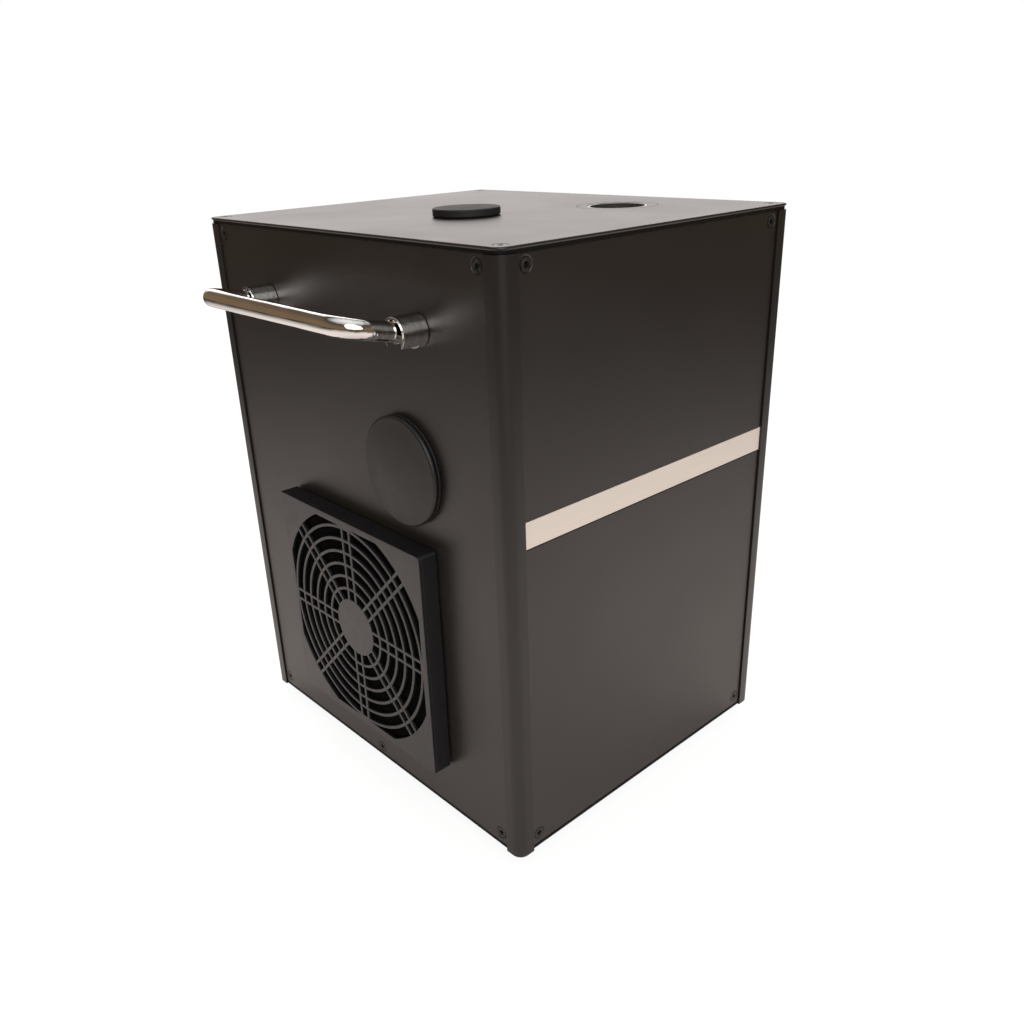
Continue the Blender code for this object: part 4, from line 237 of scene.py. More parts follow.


# Bottom plate
# Thin aluminium sheet with tapped blocks in its corners, anodised like the rest of the cabinet but
# left dull, and painted darker than the rest: painted shade for the shadow line under the panels. Its
# cut edges are deburred, which leaves them a fine rounding.

DEBURRED = 0.0003
WELD = 0.00001
FLAT_ANGLE = 1
ROUNDED_FROM = 40
NOISE_RANGE = (0.3, 0.7)
BLACK_ANODISED = (0.0075, 0.006, 0.005)


def new_finish(name, colour, roughness, metallic=0.0, reflectance=0.5):
    """A finish with one colour and gloss all over, for grain to be added to."""
    finish = bpy.data.materials.new(name)
    finish.use_nodes = True
    shader = finish.node_tree.nodes["Principled BSDF"]
    shader.inputs["Base Color"].default_value = (*colour, 1.0)
    shader.inputs["Roughness"].default_value = roughness
    shader.inputs["Metallic"].default_value = metallic
    shader.inputs["Specular IOR Level"].default_value = reflectance
    return finish


def noise(finish, size, stretch=(1.0, 1.0, 1.0), detail=3.0):
    """Noise with grains of a size in metres, drawn out along the axes whose stretch is over 1."""
    tree = finish.node_tree
    place = new_node(tree, "ShaderNodeTexCoord")
    fit = new_node(tree, "ShaderNodeMapping")
    fit.inputs["Scale"].default_value = [1.0 / (size * length) for length in stretch]
    grains = new_node(tree, "ShaderNodeTexNoise")
    grains.inputs["Scale"].default_value = 1.0
    grains.inputs["Detail"].default_value = detail
    wire(tree, place.outputs["Object"], fit.inputs["Vector"])
    wire(tree, fit.outputs["Vector"], grains.inputs["Vector"])
    return grains.outputs["Fac"]


def spread(finish, pattern, low, high):
    """The middle of a pattern's range spread out between two values."""
    tree = finish.node_tree
    scale = new_node(tree, "ShaderNodeMapRange")
    scale.inputs["From Min"].default_value = NOISE_RANGE[0]
    scale.inputs["From Max"].default_value = NOISE_RANGE[1]
    scale.inputs["To Min"].default_value = low
    scale.inputs["To Max"].default_value = high
    wire(tree, pattern, scale.inputs["Value"])
    return scale.outputs["Result"]


def colour_from(finish, pattern, dark, light):
    tree = finish.node_tree
    tint = new_node(tree, "ShaderNodeMix")
    tint.data_type = "RGBA"
    tint.inputs[6].default_value = (*dark, 1.0)
    tint.inputs[7].default_value = (*light, 1.0)
    wire(tree, spread(finish, pattern, 0.0, 1.0), tint.inputs["Factor"])
    wire(tree, tint.outputs[2], tree.nodes["Principled BSDF"].inputs["Base Color"])


def roughness_from(finish, pattern, low, high):
    shader = finish.node_tree.nodes["Principled BSDF"]
    wire(finish.node_tree, spread(finish, pattern, low, high), shader.inputs["Roughness"])


def bump_from(finish, pattern, height):
    """Raise the surface by the pattern, to a height in metres."""
    tree = finish.node_tree
    bump = new_node(tree, "ShaderNodeBump")
    bump.inputs["Strength"].default_value = 1.0
    bump.inputs["Distance"].default_value = height
    wire(tree, pattern, bump.inputs["Height"])
    wire(tree, bump.outputs["Normal"], tree.nodes["Principled BSDF"].inputs["Normal"])


def black_anodised(name, across=(1.0, 1.0, 1.0), gloss=0.8):
    """Bead-blasted and anodised sheet: a fine even tooth, slightly cloudy over a hand's width."""
    finish = new_finish(name, BLACK_ANODISED, 0.38, 0.0, gloss)
    clouds = noise(finish, 0.055, across, 2.0)
    colour_from(finish, clouds, (0.0068, 0.0054, 0.0045), (0.0084, 0.0067, 0.0056))
    roughness_from(finish, clouds, 0.36, 0.41)
    bump_from(finish, noise(finish, 0.00035), 0.000008)
    return finish


def only(piece):
    """Deselect everything else, and work on this piece."""
    bpy.ops.object.select_all(action="DESELECT")
    piece.select_set(True)
    bpy.context.view_layer.objects.active = piece


def smooth_shade(degrees):
    """Shade the active piece smooth wherever it turns by less than some degrees."""
    bpy.ops.object.shade_smooth_by_angle(angle=math.radians(degrees))


def round_edges(piece, radius, steps=2):
    only(piece)
    rounding = piece.modifiers.new("rounding", "BEVEL")
    rounding.width = radius
    rounding.segments = steps
    rounding.limit_method = "ANGLE"
    rounding.angle_limit = math.radians(ROUNDED_FROM)
    rounding.harden_normals = True
    bpy.ops.object.modifier_apply(modifier=rounding.name)


def dressed(node, finish, radius=DEBURRED, steps=2, body="cabinet"):
    """The solid part itself, with rounded edges and its real finish."""
    piece = bpy.data.objects.new(f"{node}_finished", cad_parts[node].data.copy())
    bpy.context.scene.collection.objects.link(piece)
    only(piece)
    bpy.ops.object.mode_set(mode="EDIT")
    bpy.ops.mesh.select_all(action="SELECT")
    bpy.ops.mesh.remove_doubles(threshold=WELD)
    bpy.ops.mesh.dissolve_limited(angle_limit=math.radians(FLAT_ANGLE))
    bpy.ops.object.mode_set(mode="OBJECT")
    bpy.ops.mesh.customdata_custom_splitnormals_clear()
    smooth_shade(30)
    round_edges(piece, radius, steps)
    return fitted(piece, finish, body, node, node)


def fitted(piece, finish, body, material_slot, *nodes):
    """Give a piece its finish, put it under the body it moves with, and hide the solids it stands for.
    """
    if finish is not None:
        piece.data.materials.clear()
        piece.data.materials.append(finish)
    if nodes:
        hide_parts(*nodes)
    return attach(piece, body)


# Painted shade: the plate's colour is darker than the cabinet's anodising, standing for the shadow
# line under the panels.
bottom_dull_shaded = new_finish("bottom_plate_dull_painted_shade", (0.004, 0.0035, 0.003), 0.62, 0.0, 0.3)
cloudy = noise(bottom_dull_shaded, 0.03)
colour_from(bottom_dull_shaded, cloudy, (0.0035, 0.003, 0.0026), (0.0055, 0.0048, 0.0042))
roughness_from(bottom_dull_shaded, cloudy, 0.58, 0.68)
dressed("bottom_plate", bottom_dull_shaded)


# Feet
# Four push-in bumpers of black rubber, each a low drum drawn in towards the floor with a
# moulding dimple under it.

FOOT_STEM_RADIUS = 0.003
FOOT_TAPER = 0.88
FOOT_DIMPLE_RADIUS = 0.004
FOOT_DIMPLE_DEPTH = 0.0022
FOOT_GAP = 0.0003
FOOT_ROUNDING = 0.0006
SAME_LEVEL = 0.00001
CORNERS = ("front_left", "front_right", "rear_left", "rear_right")

foot_rubber = new_finish("foot_rubber", (0.02, 0.02, 0.02), 0.8)
dust = noise(foot_rubber, 0.004)
colour_from(foot_rubber, dust, (0.016, 0.016, 0.016), (0.034, 0.032, 0.03))
roughness_from(foot_rubber, dust, 0.72, 0.9)
bump_from(foot_rubber, noise(foot_rubber, 0.0005), 0.00004)


def pick(piece, kind, wanted):
    """In edit mode, select the faces or edges for which wanted(middle, item) is true."""
    bpy.ops.mesh.select_mode(type=kind)
    bpy.ops.mesh.select_all(action="DESELECT")
    shape = bmesh.from_edit_mesh(piece.data)
    for item in shape.faces if kind == "FACE" else shape.edges:
        middle = sum((vert.co for vert in item.verts), Vector()) / len(item.verts)
        if wanted(middle, item):
            item.select_set(True)
    shape.select_flush_mode()
    bmesh.update_edit_mesh(piece.data)


def drum(name, radius, low, high, at, along="Z", sides=64):
    """A solid drum in its place, its axis along X, Y or Z, left open for edit mode."""
    quarter = math.pi / 2
    turns = {"X": (0.0, quarter, 0.0), "Y": (quarter, 0.0, 0.0), "Z": (0.0, 0.0, 0.0)}
    middle = Vector(at)
    middle["XYZ".index(along)] = (low + high) / 2
    bpy.ops.object.select_all(action="DESELECT")
    bpy.ops.mesh.primitive_cylinder_add(
        vertices=sides, radius=radius, depth=high - low, location=middle, rotation=turns[along]
    )
    piece = bpy.context.object
    piece.name = name
    bpy.ops.object.transform_apply(location=True, rotation=True, scale=True)
    bpy.ops.object.mode_set(mode="EDIT")
    return piece


def end_face(piece, axis, level):
    """Select the flat end of a drum, which lies at a level along an axis."""
    index = "XYZ".index(axis)
    pick(piece, "FACE", lambda middle, face: (
        len(face.verts) > 8 and abs(middle[index] - level) < SAME_LEVEL
    ))


def step_in(width):
    bpy.ops.mesh.inset(thickness=width, depth=0.0)


def push(x=0.0, y=0.0, z=0.0):
    bpy.ops.mesh.extrude_region_move(TRANSFORM_OT_translate={"value": (x, y, z)})


def finished(piece, radius, steps=2, smooth=35):
    """Leave edit mode, and round the edges of a new piece."""
    bpy.ops.mesh.select_all(action="SELECT")
    bpy.ops.mesh.normals_make_consistent(inside=False)
    bpy.ops.object.mode_set(mode="OBJECT")
    smooth_shade(smooth)
    if radius:
        round_edges(piece, radius, steps)
    return piece


foot_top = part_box("bottom_plate")[0].z - FOOT_GAP
for corner in CORNERS:
    low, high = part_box(f"foot_{corner}")
    middle = (low + high) / 2
    foot_radius = (high.x - low.x) / 2
    foot = drum(f"foot_{corner}_rubber", foot_radius, 0.0, foot_top, middle)
    end_face(foot, "Z", foot_top)
    step_in(foot_radius - FOOT_STEM_RADIUS)
    push(z=high.z - foot_top)
    end_face(foot, "Z", 0.0)
    bpy.ops.transform.resize(
        value=(FOOT_TAPER, FOOT_TAPER, 1.0), center_override=(middle.x, middle.y, 0.0)
    )
    step_in(foot_radius * FOOT_TAPER - FOOT_DIMPLE_RADIUS)
    push(z=FOOT_DIMPLE_DEPTH)
    finished(foot, FOOT_ROUNDING, 3)
    fitted(foot, foot_rubber, "cabinet", f"foot_{corner}", f"foot_{corner}")


# Corner posts
# Extruded aluminium angles with a rounded outer corner and two flanges for the panels. They run
# from the bottom plate to the top plate, and are anodised with the rest.

END_ZONE = 0.0006
END_GAP = 0.00002

post_anodised = black_anodised("post_anodised", across=(1.0, 1.0, 6.0), gloss=0.66)


def meet_top_plate(piece):
    """Draw a piece's upper end up to the top plate, so that no light shows between them."""
    only(piece)
    bpy.ops.object.mode_set(mode="EDIT")
    top = max(vert.co.z for vert in bmesh.from_edit_mesh(piece.data).verts)
    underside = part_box("top_plate")[0].z
    pick(piece, "EDGE", lambda middle, edge: middle.z > top - END_ZONE)
    bpy.ops.transform.translate(value=(0.0, 0.0, underside - END_GAP - top))
    bpy.ops.object.mode_set(mode="OBJECT")


for corner in CORNERS:
    meet_top_plate(dressed(f"corner_post_{corner}", post_anodised))


# Blower and its bracket
# A bent steel table stands on the bottom plate. The blower hangs under it, moulded in black
# plastic, with its impeller on a motor shaft.

sheet_steel = new_finish("sheet_steel", (0.5, 0.49, 0.47), 0.36, 1.0)
rolled = noise(sheet_steel, 0.0006, (1.0, 40.0, 1.0))
colour_from(sheet_steel, rolled, (0.42, 0.41, 0.39), (0.56, 0.55, 0.53))
roughness_from(sheet_steel, noise(sheet_steel, 0.02), 0.3, 0.45)
bump_from(sheet_steel, rolled, 0.000015)


def moulded_black(name, colour, low, high, reflectance=0.5):
    """Black plastic from a spark-eroded mould: a fine tooth, and a faint flow pattern."""
    plastic = new_finish(name, colour, (low + high) / 2, 0.0, reflectance)
    flow = noise(plastic, 0.018, detail=1.0)
    light = [value * 1.25 for value in colour]
    colour_from(plastic, flow, colour, light)
    roughness_from(plastic, noise(plastic, 0.006), low, high)
    bump_from(plastic, noise(plastic, 0.0003), 0.000012)
    return plastic


works_plastic = moulded_black("works_plastic", (0.01, 0.01, 0.0105), 0.46, 0.6)
dressed("core_bracket", sheet_steel)
dressed("blower_housing", works_plastic, radius=0.0004)
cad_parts["blower_impeller"].data.materials[0] = works_plastic


# Heating tube
# A turned steel tube stands on the bracket. A copper induction coil winds round a sleeve of
# ceramic fibre, and heats the granules as they pass.

turned_steel = new_finish("turned_steel", (0.52, 0.5, 0.47), 0.3, 1.0)
lathe_lines = noise(turned_steel, 0.0004, (60.0, 60.0, 1.0))
colour_from(turned_steel, lathe_lines, (0.44, 0.42, 0.4), (0.58, 0.56, 0.53))
roughness_from(turned_steel, lathe_lines, 0.24, 0.38)
bump_from(turned_steel, lathe_lines, 0.00001)
dressed("heating_tube", turned_steel)

fibre = new_finish("ceramic_fibre", (0.75, 0.72, 0.66), 0.95)
strands = noise(fibre, 0.0007, (6.0, 6.0, 1.0), 6.0)
colour_from(fibre, strands, (0.6, 0.57, 0.51), (0.8, 0.78, 0.73))
bump_from(fibre, strands, 0.0004)
dressed("insulation_sleeve", fibre, radius=0.0008)

copper = new_finish("coil_copper", (0.75, 0.36, 0.2), 0.3, 1.0)
tarnish = noise(copper, 0.006)
colour_from(copper, tarnish, (0.52, 0.24, 0.14), (0.8, 0.42, 0.26))
roughness_from(copper, tarnish, 0.22, 0.45)
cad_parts["heating_coil"].data.materials[0] = copper


# Hopper and feed
# A spun aluminium funnel holds the granules. A steel screw in a tube, turned by a small gear
# motor, carries them across into the heating tube.

spun_aluminium = new_finish("spun_aluminium", (0.72, 0.7, 0.66), 0.36, 1.0)
spinning = noise(spun_aluminium, 0.0005, (40.0, 40.0, 1.0))
colour_from(spun_aluminium, spinning, (0.64, 0.62, 0.58), (0.78, 0.76, 0.73))
roughness_from(spun_aluminium, noise(spun_aluminium, 0.012), 0.3, 0.42)
bump_from(spun_aluminium, spinning, 0.00001)
dressed("hopper", spun_aluminium, radius=0.0002, steps=1)
dressed("feed_tube", turned_steel, radius=0.0002, steps=1)
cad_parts["feed_screw"].data.materials[0] = turned_steel
dressed("feed_motor", sheet_steel, radius=0.0004)


# Electronics
# The power supply is a folded aluminium box on the right panel. Two green circuit boards carry
# the drive and the display.

supply_aluminium = new_finish("supply_aluminium", (0.7, 0.7, 0.68), 0.4, 1.0)
folded = noise(supply_aluminium, 0.0007, (1.0, 30.0, 1.0))
colour_from(supply_aluminium, folded, (0.62, 0.62, 0.6), (0.74, 0.74, 0.72))
roughness_from(supply_aluminium, noise(supply_aluminium, 0.03), 0.34, 0.48)
dressed("power_supply", supply_aluminium, radius=0.0005)

board_green = new_finish("board_green", (0.02, 0.11, 0.05), 0.4)
place = new_node(board_green.node_tree, "ShaderNodeTexCoord")
tracks = new_node(board_green.node_tree, "ShaderNodeTexBrick")
tracks.inputs["Scale"].default_value = 90.0
tracks.inputs["Mortar Size"].default_value = 0.012
tracks.inputs["Color1"].default_value = (0.012, 0.085, 0.035, 1.0)
tracks.inputs["Color2"].default_value = (0.02, 0.11, 0.05, 1.0)
tracks.inputs["Mortar"].default_value = (0.05, 0.2, 0.09, 1.0)
wire(board_green.node_tree, place.outputs["Object"], tracks.inputs["Vector"])
board_shader = board_green.node_tree.nodes["Principled BSDF"]
wire(board_green.node_tree, tracks.outputs["Color"], board_shader.inputs["Base Color"])
roughness_from(board_green, noise(board_green, 0.004), 0.3, 0.5)
dressed("control_board", board_green, radius=0.0002, steps=1)
dressed("display_board", board_green, radius=0.0002, steps=1)


# Fan
# A 120 mm axial fan in black plastic sits behind the left panel. An open-cell foam filter lies
# in front of it.

dressed("fan_housing", works_plastic, radius=0.0004)
dressed("fan_rotor", works_plastic, steps=1, body="fan_rotor")

foam = new_finish("filter_foam", (0.002, 0.002, 0.002), 1.0, 0.0, 0.05)
place = new_node(foam.node_tree, "ShaderNodeTexCoord")
pores_and_pore_shade = new_node(foam.node_tree, "ShaderNodeTexVoronoi")
pores_and_pore_shade.inputs["Scale"].default_value = 900.0
wire(foam.node_tree, place.outputs["Object"], pores_and_pore_shade.inputs["Vector"])
# Painted shade: the foam is darker towards the middle of each pore, where its hollows are.
colour_from(foam, pores_and_pore_shade.outputs["Distance"], (0.0008, 0.0008, 0.0008), (0.0032, 0.003, 0.003))
bump_from(foam, pores_and_pore_shade.outputs["Distance"], 0.0003)
dressed("fan_filter", foam, radius=0.0006)


# Panels
# Four aluminium sheets let into the posts, with their holes punched: for the fan and the side
# port, the rows of vent slots, and the rear sockets.

PANEL_EDGE = 0.00045

panel_anodised = black_anodised("panel_anodised")
for side in ("front", "left", "rear", "right"):
    meet_top_plate(dressed(f"{side}_panel", panel_anodised, PANEL_EDGE))


# Front stripe
# A satin strip of champagne aluminium, brushed along its length and let into the front panel.

stripe_finish = new_finish("stripe_champagne", (0.75, 0.68, 0.62), 0.42, 0.3)
brushing = noise(stripe_finish, 0.00025, (160.0, 1.0, 1.0))
colour_from(stripe_finish, brushing, (0.73, 0.66, 0.6), (0.79, 0.72, 0.66))
roughness_from(stripe_finish, brushing, 0.38, 0.48)
bump_from(stripe_finish, brushing, 0.000006)
dressed("front_stripe", stripe_finish, radius=0.00012, steps=1)


# Top plate
# A thicker plate with rounded corners on the posts' ends. The lower half of its edge is milled back,
# which leaves a dark line above the panels, and that half is duller and painted darker, painted shade
# under the plate's overhang.

PLATE_ROUNDING = 0.00025
EDGE_SHOWN = 0.0014
EDGE_STEP = 0.0006
EDGE_SLOPE = 0.0001
EDGE_ZONE = 0.006
WALL_TILT = 0.98
HOLE_CORNERS = 30

plate_low, plate_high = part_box("top_plate")
plate_middle = (plate_low + plate_high) / 2
plate_half = (plate_high - plate_low) / 2
step_level = plate_high.z - EDGE_SHOWN
top_plate = dressed("top_plate", black_anodised("top_plate_anodised"), PLATE_ROUNDING)
only(top_plate)
bpy.ops.object.mode_set(mode="EDIT")
for level in (step_level, step_level - EDGE_SLOPE):
    bpy.ops.mesh.select_all(action="SELECT")
    bpy.ops.mesh.bisect(plane_co=(0.0, 0.0, level), plane_no=(0.0, 0.0, 1.0))


def in_milled_edge(point, edge):
    """Whether an edge is on the plate's outline below the step, and not round a screw's hole."""
    side = max(
        abs(point.x - plate_middle.x) - plate_half.x, abs(point.y - plate_middle.y) - plate_half.y
    )
    return side > -EDGE_ZONE and point.z < step_level - EDGE_SLOPE / 2 and all(
        abs(face.normal.z) < WALL_TILT or len(face.verts) > HOLE_CORNERS
        for face in edge.link_faces
    )


pick(top_plate, "EDGE", in_milled_edge)
bpy.ops.transform.resize(
    value=(1.0 - EDGE_STEP / plate_half.x, 1.0 - EDGE_STEP / plate_half.y, 1.0),
    center_override=plate_middle,
)
bpy.ops.object.mode_set(mode="OBJECT")
# Painted shade: the milled lower half of the edge is darker than the anodising, standing for the
# shadow under the overhang.
shaded_milled_edge = new_finish("shaded_milled_edge", (0.003, 0.0026, 0.0023), 0.6, 0.0, 0.2)
cutter_marks = noise(shaded_milled_edge, 0.0006, (1.0, 1.0, 12.0))
colour_from(shaded_milled_edge, cutter_marks, (0.0025, 0.0022, 0.002), (0.0045, 0.004, 0.0035))
roughness_from(shaded_milled_edge, cutter_marks, 0.54, 0.66)
top_plate.data.materials.append(shaded_milled_edge)
for face in top_plate.data.polygons:
    face.material_index = int(abs(face.normal.z) < 0.5 and face.center.z < step_level)


# Panel screws
# Black M3 countersunk screws with hexagon sockets hold the panels, the top plate and the rear
# sockets. One is turned and its socket broached, and the rest are its copies.

SCREW_RADIUS = 0.0031
SCREW_HEAD = 0.0017
SCREW_TAPER = 0.55
SCREW_SINK = 0.00012
SCREW_ROUNDING = 0.00022
SCREW_SOCKET = 0.00144
SCREW_SOCKET_DEPTH = 0.0016
SCREW_TURNS = (37.0, 53.0, 71.0)
SCREW_INSET = 0.01465
TOP_SCREW_DROP = 0.0078
BOTTOM_SCREW_RISE = 0.008
MIDDLE_SCREW_RISE = 0.0063
TOP_PLATE_SCREW_INSET = 0.007

screw_black = new_finish("screw_black_oxide", (0.025, 0.024, 0.024), 0.3, 0.6)
wear = noise(screw_black, 0.0012)
colour_from(screw_black, wear, (0.016, 0.015, 0.015), (0.06, 0.056, 0.052))
roughness_from(screw_black, wear, 0.25, 0.45)


def cut_away(piece, cutter):
    """Take one solid out of another, and remove it."""
    only(piece)
    cut = piece.modifiers.new("cut", "BOOLEAN")
    cut.object = cutter
    bpy.ops.object.modifier_apply(modifier=cut.name)
    bpy.data.objects.remove(cutter)
    smooth_shade(35)


screw = drum("screw_pattern", SCREW_RADIUS, -SCREW_HEAD, 0.0, (0.0, 0.0, 0.0), sides=40)
end_face(screw, "Z", -SCREW_HEAD)
bpy.ops.transform.resize(
    value=(SCREW_TAPER, SCREW_TAPER, 1.0), center_override=(0.0, 0.0, -SCREW_HEAD)
)
finished(screw, SCREW_ROUNDING)
bpy.ops.object.select_all(action="DESELECT")
bpy.ops.mesh.primitive_cylinder_add(
    vertices=6, radius=SCREW_SOCKET, depth=2 * SCREW_SOCKET_DEPTH, location=(0.0, 0.0, 0.0)
)
cut_away(screw, bpy.context.object)
screw.data.materials.append(screw_black)

FACE_TURNS = {
    "front": Matrix(((1, 0, 0), (0, 0, -1), (0, 1, 0))),
    "left": Matrix(((0, 0, -1), (-1, 0, 0), (0, 1, 0))),
    "rear": Matrix(((-1, 0, 0), (0, 0, 1), (0, 1, 0))),
    "right": Matrix(((0, 0, 1), (1, 0, 0), (0, 1, 0))),
    "top": Matrix.Identity(3),
}


def add_screw(name, side, at):
    """A copy of the screw in a side's hole, with its socket turned as its place has it."""
    copy = bpy.data.objects.new(name, screw.data.copy())
    face_turn = FACE_TURNS[side].to_4x4()
    spin = Matrix.Rotation(sum(turn * part for turn, part in zip(SCREW_TURNS, at)), 4, "Z")
    sink = Matrix.Translation((0.0, 0.0, -SCREW_SINK))
    copy.data.transform(Matrix.Translation(at) @ face_turn @ spin @ sink)
    bpy.context.scene.collection.objects.link(copy)
    fitted(copy, None, "cabinet", "top_plate")


base_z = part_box("corner_post_front_left")[0].z
for side in ("front", "left", "rear", "right"):
    panel_low, panel_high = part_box(f"{side}_panel")
    wide = 0 if side in ("front", "rear") else 1
    out = 1 - wide
    surface = panel_low[out] if side in ("front", "left") else panel_high[out]
    spots = []
    for end, step in ((plate_low[wide], SCREW_INSET), (plate_high[wide], -SCREW_INSET)):
        spots.append((end + step, plate_high.z - TOP_SCREW_DROP))
        spots.append((end + step, base_z + BOTTOM_SCREW_RISE))
    if wide == 1:
        spots.append(((plate_low.y + plate_high.y) / 2, base_z + MIDDLE_SCREW_RISE))
    for number, (across, height) in enumerate(spots, start=1):
        at = Vector((0.0, 0.0, height))
        at[wide] = across
        at[out] = surface
        add_screw(f"{side}_panel_screw_{number}", side, at)

top_spots = [
    (x, y)
    for x in (plate_low.x + TOP_PLATE_SCREW_INSET, plate_high.x - TOP_PLATE_SCREW_INSET)
    for y in (plate_low.y + TOP_PLATE_SCREW_INSET, plate_high.y - TOP_PLATE_SCREW_INSET)
]
for number, (x, y) in enumerate(top_spots, start=1):
    add_screw(f"top_plate_screw_{number}", "top", Vector((x, y, plate_high.z)))


# Nozzle
# A black flange lies flush in the top plate. The steel tube in it ends in a bright turned rim, and its
# chamfer and bore are painted near black, painted shade down the hole.

FLANGE_RADIUS = 0.0209
FLANGE_ROUNDING = 0.0003
TUBE_GAP = 0.0003
TUBE_RADIUS = 0.0155
TUBE_RIM = 0.001
TUBE_SINK = 0.0002
TUBE_ROUNDING = 0.0002
CHAMFER = 0.0022
BORE_RADIUS = 0.0128
BORE_SHADE_RISE = 0.0001


def open_through(piece, underside):
    """Delete both ends of a hole that is pushed down to the underside, and join its rims there."""
    bpy.ops.mesh.delete(type="FACE")
    end_face(piece, "Z", underside)
    bpy.ops.mesh.delete(type="FACE")
    pick(piece, "EDGE", lambda middle, edge: all(
        abs(vert.co.z - underside) < SAME_LEVEL for vert in edge.verts
    ))
    bpy.ops.mesh.bridge_edge_loops()


low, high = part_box("nozzle_flange")
nozzle_middle = (low + high) / 2
nozzle_top = high.z
flange = drum("nozzle_flange_ring", FLANGE_RADIUS, low.z, nozzle_top, nozzle_middle, sides=128)
end_face(flange, "Z", nozzle_top)
step_in(FLANGE_RADIUS - TUBE_RADIUS - TUBE_GAP)
push(z=low.z - nozzle_top)
open_through(flange, low.z)
finished(flange, FLANGE_ROUNDING, 3)
fitted(flange, black_anodised("flange_anodised"), "cabinet", "nozzle_flange", "nozzle_flange")

nozzle_steel = new_finish("nozzle_steel", (0.6, 0.57, 0.53), 0.22, 1.0)
soot = noise(nozzle_steel, 0.005)
colour_from(nozzle_steel, soot, (0.46, 0.43, 0.4), (0.66, 0.63, 0.6))
roughness_from(nozzle_steel, soot, 0.18, 0.36)
low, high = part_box("nozzle_tube")
tube_top = nozzle_top - TUBE_SINK
tube = drum("nozzle_tube_turned", TUBE_RADIUS, low.z, tube_top, nozzle_middle, sides=128)
end_face(tube, "Z", tube_top)
step_in(TUBE_RIM)
step_in(TUBE_RADIUS - TUBE_RIM - BORE_RADIUS)
bpy.ops.transform.translate(value=(0.0, 0.0, -CHAMFER))
push(z=low.z - tube_top + CHAMFER)
open_through(tube, low.z)
finished(tube, TUBE_ROUNDING)
fitted(tube, nozzle_steel, "cabinet", "nozzle_tube", "nozzle_tube")
# Painted shade: the chamfer and bore take a near black finish with a faint mottle, standing for the
# shade down the hole.
bore_painted_shade = new_finish("bore_painted_shade", (0.008, 0.0075, 0.007), 0.7)
bore_mottle = noise(bore_painted_shade, 0.0015)
colour_from(bore_painted_shade, bore_mottle, (0.004, 0.004, 0.004), (0.014, 0.012, 0.01))
bump_from(bore_painted_shade, bore_mottle, 0.00005)
tube.data.materials.append(bore_painted_shade)
for face in tube.data.polygons:
    from_axis = (face.center - nozzle_middle).to_2d().length
    inside = from_axis < TUBE_RADIUS - TUBE_RIM and face.center.z > low.z + BORE_SHADE_RISE
    face.material_index = int(inside)


# Filler
# The collar is clamped under the top plate. Its cap is a rubber plug with a low crown that lifts
# straight out.

FILLER_PLUG_RADIUS = 0.0127
FILLER_SEAT_GAP = 0.0003
FILLER_CROWN = 0.0005
FILLER_RIM = 0.0012
FILLER_ROUNDING = 0.0007

dressed("filler_collar", spun_aluminium, radius=0.0002, steps=1)
cap_rubber = moulded_black("filler_cap_rubber", (0.009, 0.009, 0.009), 0.62, 0.7, 0.5)
low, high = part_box("filler_cap")
cap_middle = (low + high) / 2
cap_radius = (high.x - low.x) / 2
cap_seat = plate_high.z + FILLER_SEAT_GAP
cap_top = high.z - FILLER_CROWN
cap = drum("filler_cap_turned", cap_radius, cap_seat, cap_top, cap_middle, sides=96)
end_face(cap, "Z", cap_seat)
step_in(cap_radius - FILLER_PLUG_RADIUS)
push(z=low.z - cap_seat)
end_face(cap, "Z", cap_top)
step_in(FILLER_RIM)
step_in(cap_radius / 2)
bpy.ops.transform.translate(value=(0.0, 0.0, FILLER_CROWN))
finished(cap, FILLER_ROUNDING, 4)
fitted(cap, cap_rubber, "filler_cap", "filler_cap", "filler_cap")


# Side port
# A moulded collar lines the hole, and a satin black cap with a rounded rim and a low dome is
# pushed over it.

PORT_PLUG_RADIUS = 0.0192
PORT_SEAT_GAP = 0.0003
PORT_CAP_CROWN = 0.001
PORT_CAP_ROUNDING = 0.0015
PORT_CAP_RIM = 0.0017
PORT_CAP_DOME = {0.75: 0.45, 0.5: 0.3, 0.25: 0.18, 0.05: 0.07}

low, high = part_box("side_port_cap")
port_middle = (low + high) / 2
port_radius = (high.y - low.y) / 2
dressed("side_port_collar", works_plastic, radius=0.0002, steps=1)
cap_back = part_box("side_port_collar")[0].x - PORT_SEAT_GAP
cap_front = low.x + PORT_CAP_CROWN
cap = drum("side_port_cap_moulded", port_radius, cap_front, cap_back, port_middle, "X", 128)
end_face(cap, "X", cap_back)
step_in(port_radius - PORT_PLUG_RADIUS)
push(x=high.x - cap_back)
end_face(cap, "X", cap_front)
step_in(PORT_CAP_RIM)
for outward, rise in PORT_CAP_DOME.items():
    ring_radius = (port_radius - PORT_CAP_ROUNDING) * outward
    chosen = [vert for vert in bmesh.from_edit_mesh(cap.data).verts if vert.select]
    face_radius = max(abs(vert.co.y - port_middle.y) for vert in chosen)
    step_in(face_radius - ring_radius)
    bpy.ops.transform.translate(value=(-PORT_CAP_CROWN * rise, 0.0, 0.0))
finished(cap, PORT_CAP_ROUNDING, 6)
satin_black = moulded_black("port_cap_satin", (0.009, 0.009, 0.009), 0.4, 0.46)
fitted(cap, satin_black, "side_port_cap", "side_port_cap", "side_port_cap")


# Fan guard
# A square snap cover moulded in black plastic: rings and paired spokes round a plain disc,
# inside a deep frame with one rounded corner. It clips over a flat base on the panel.

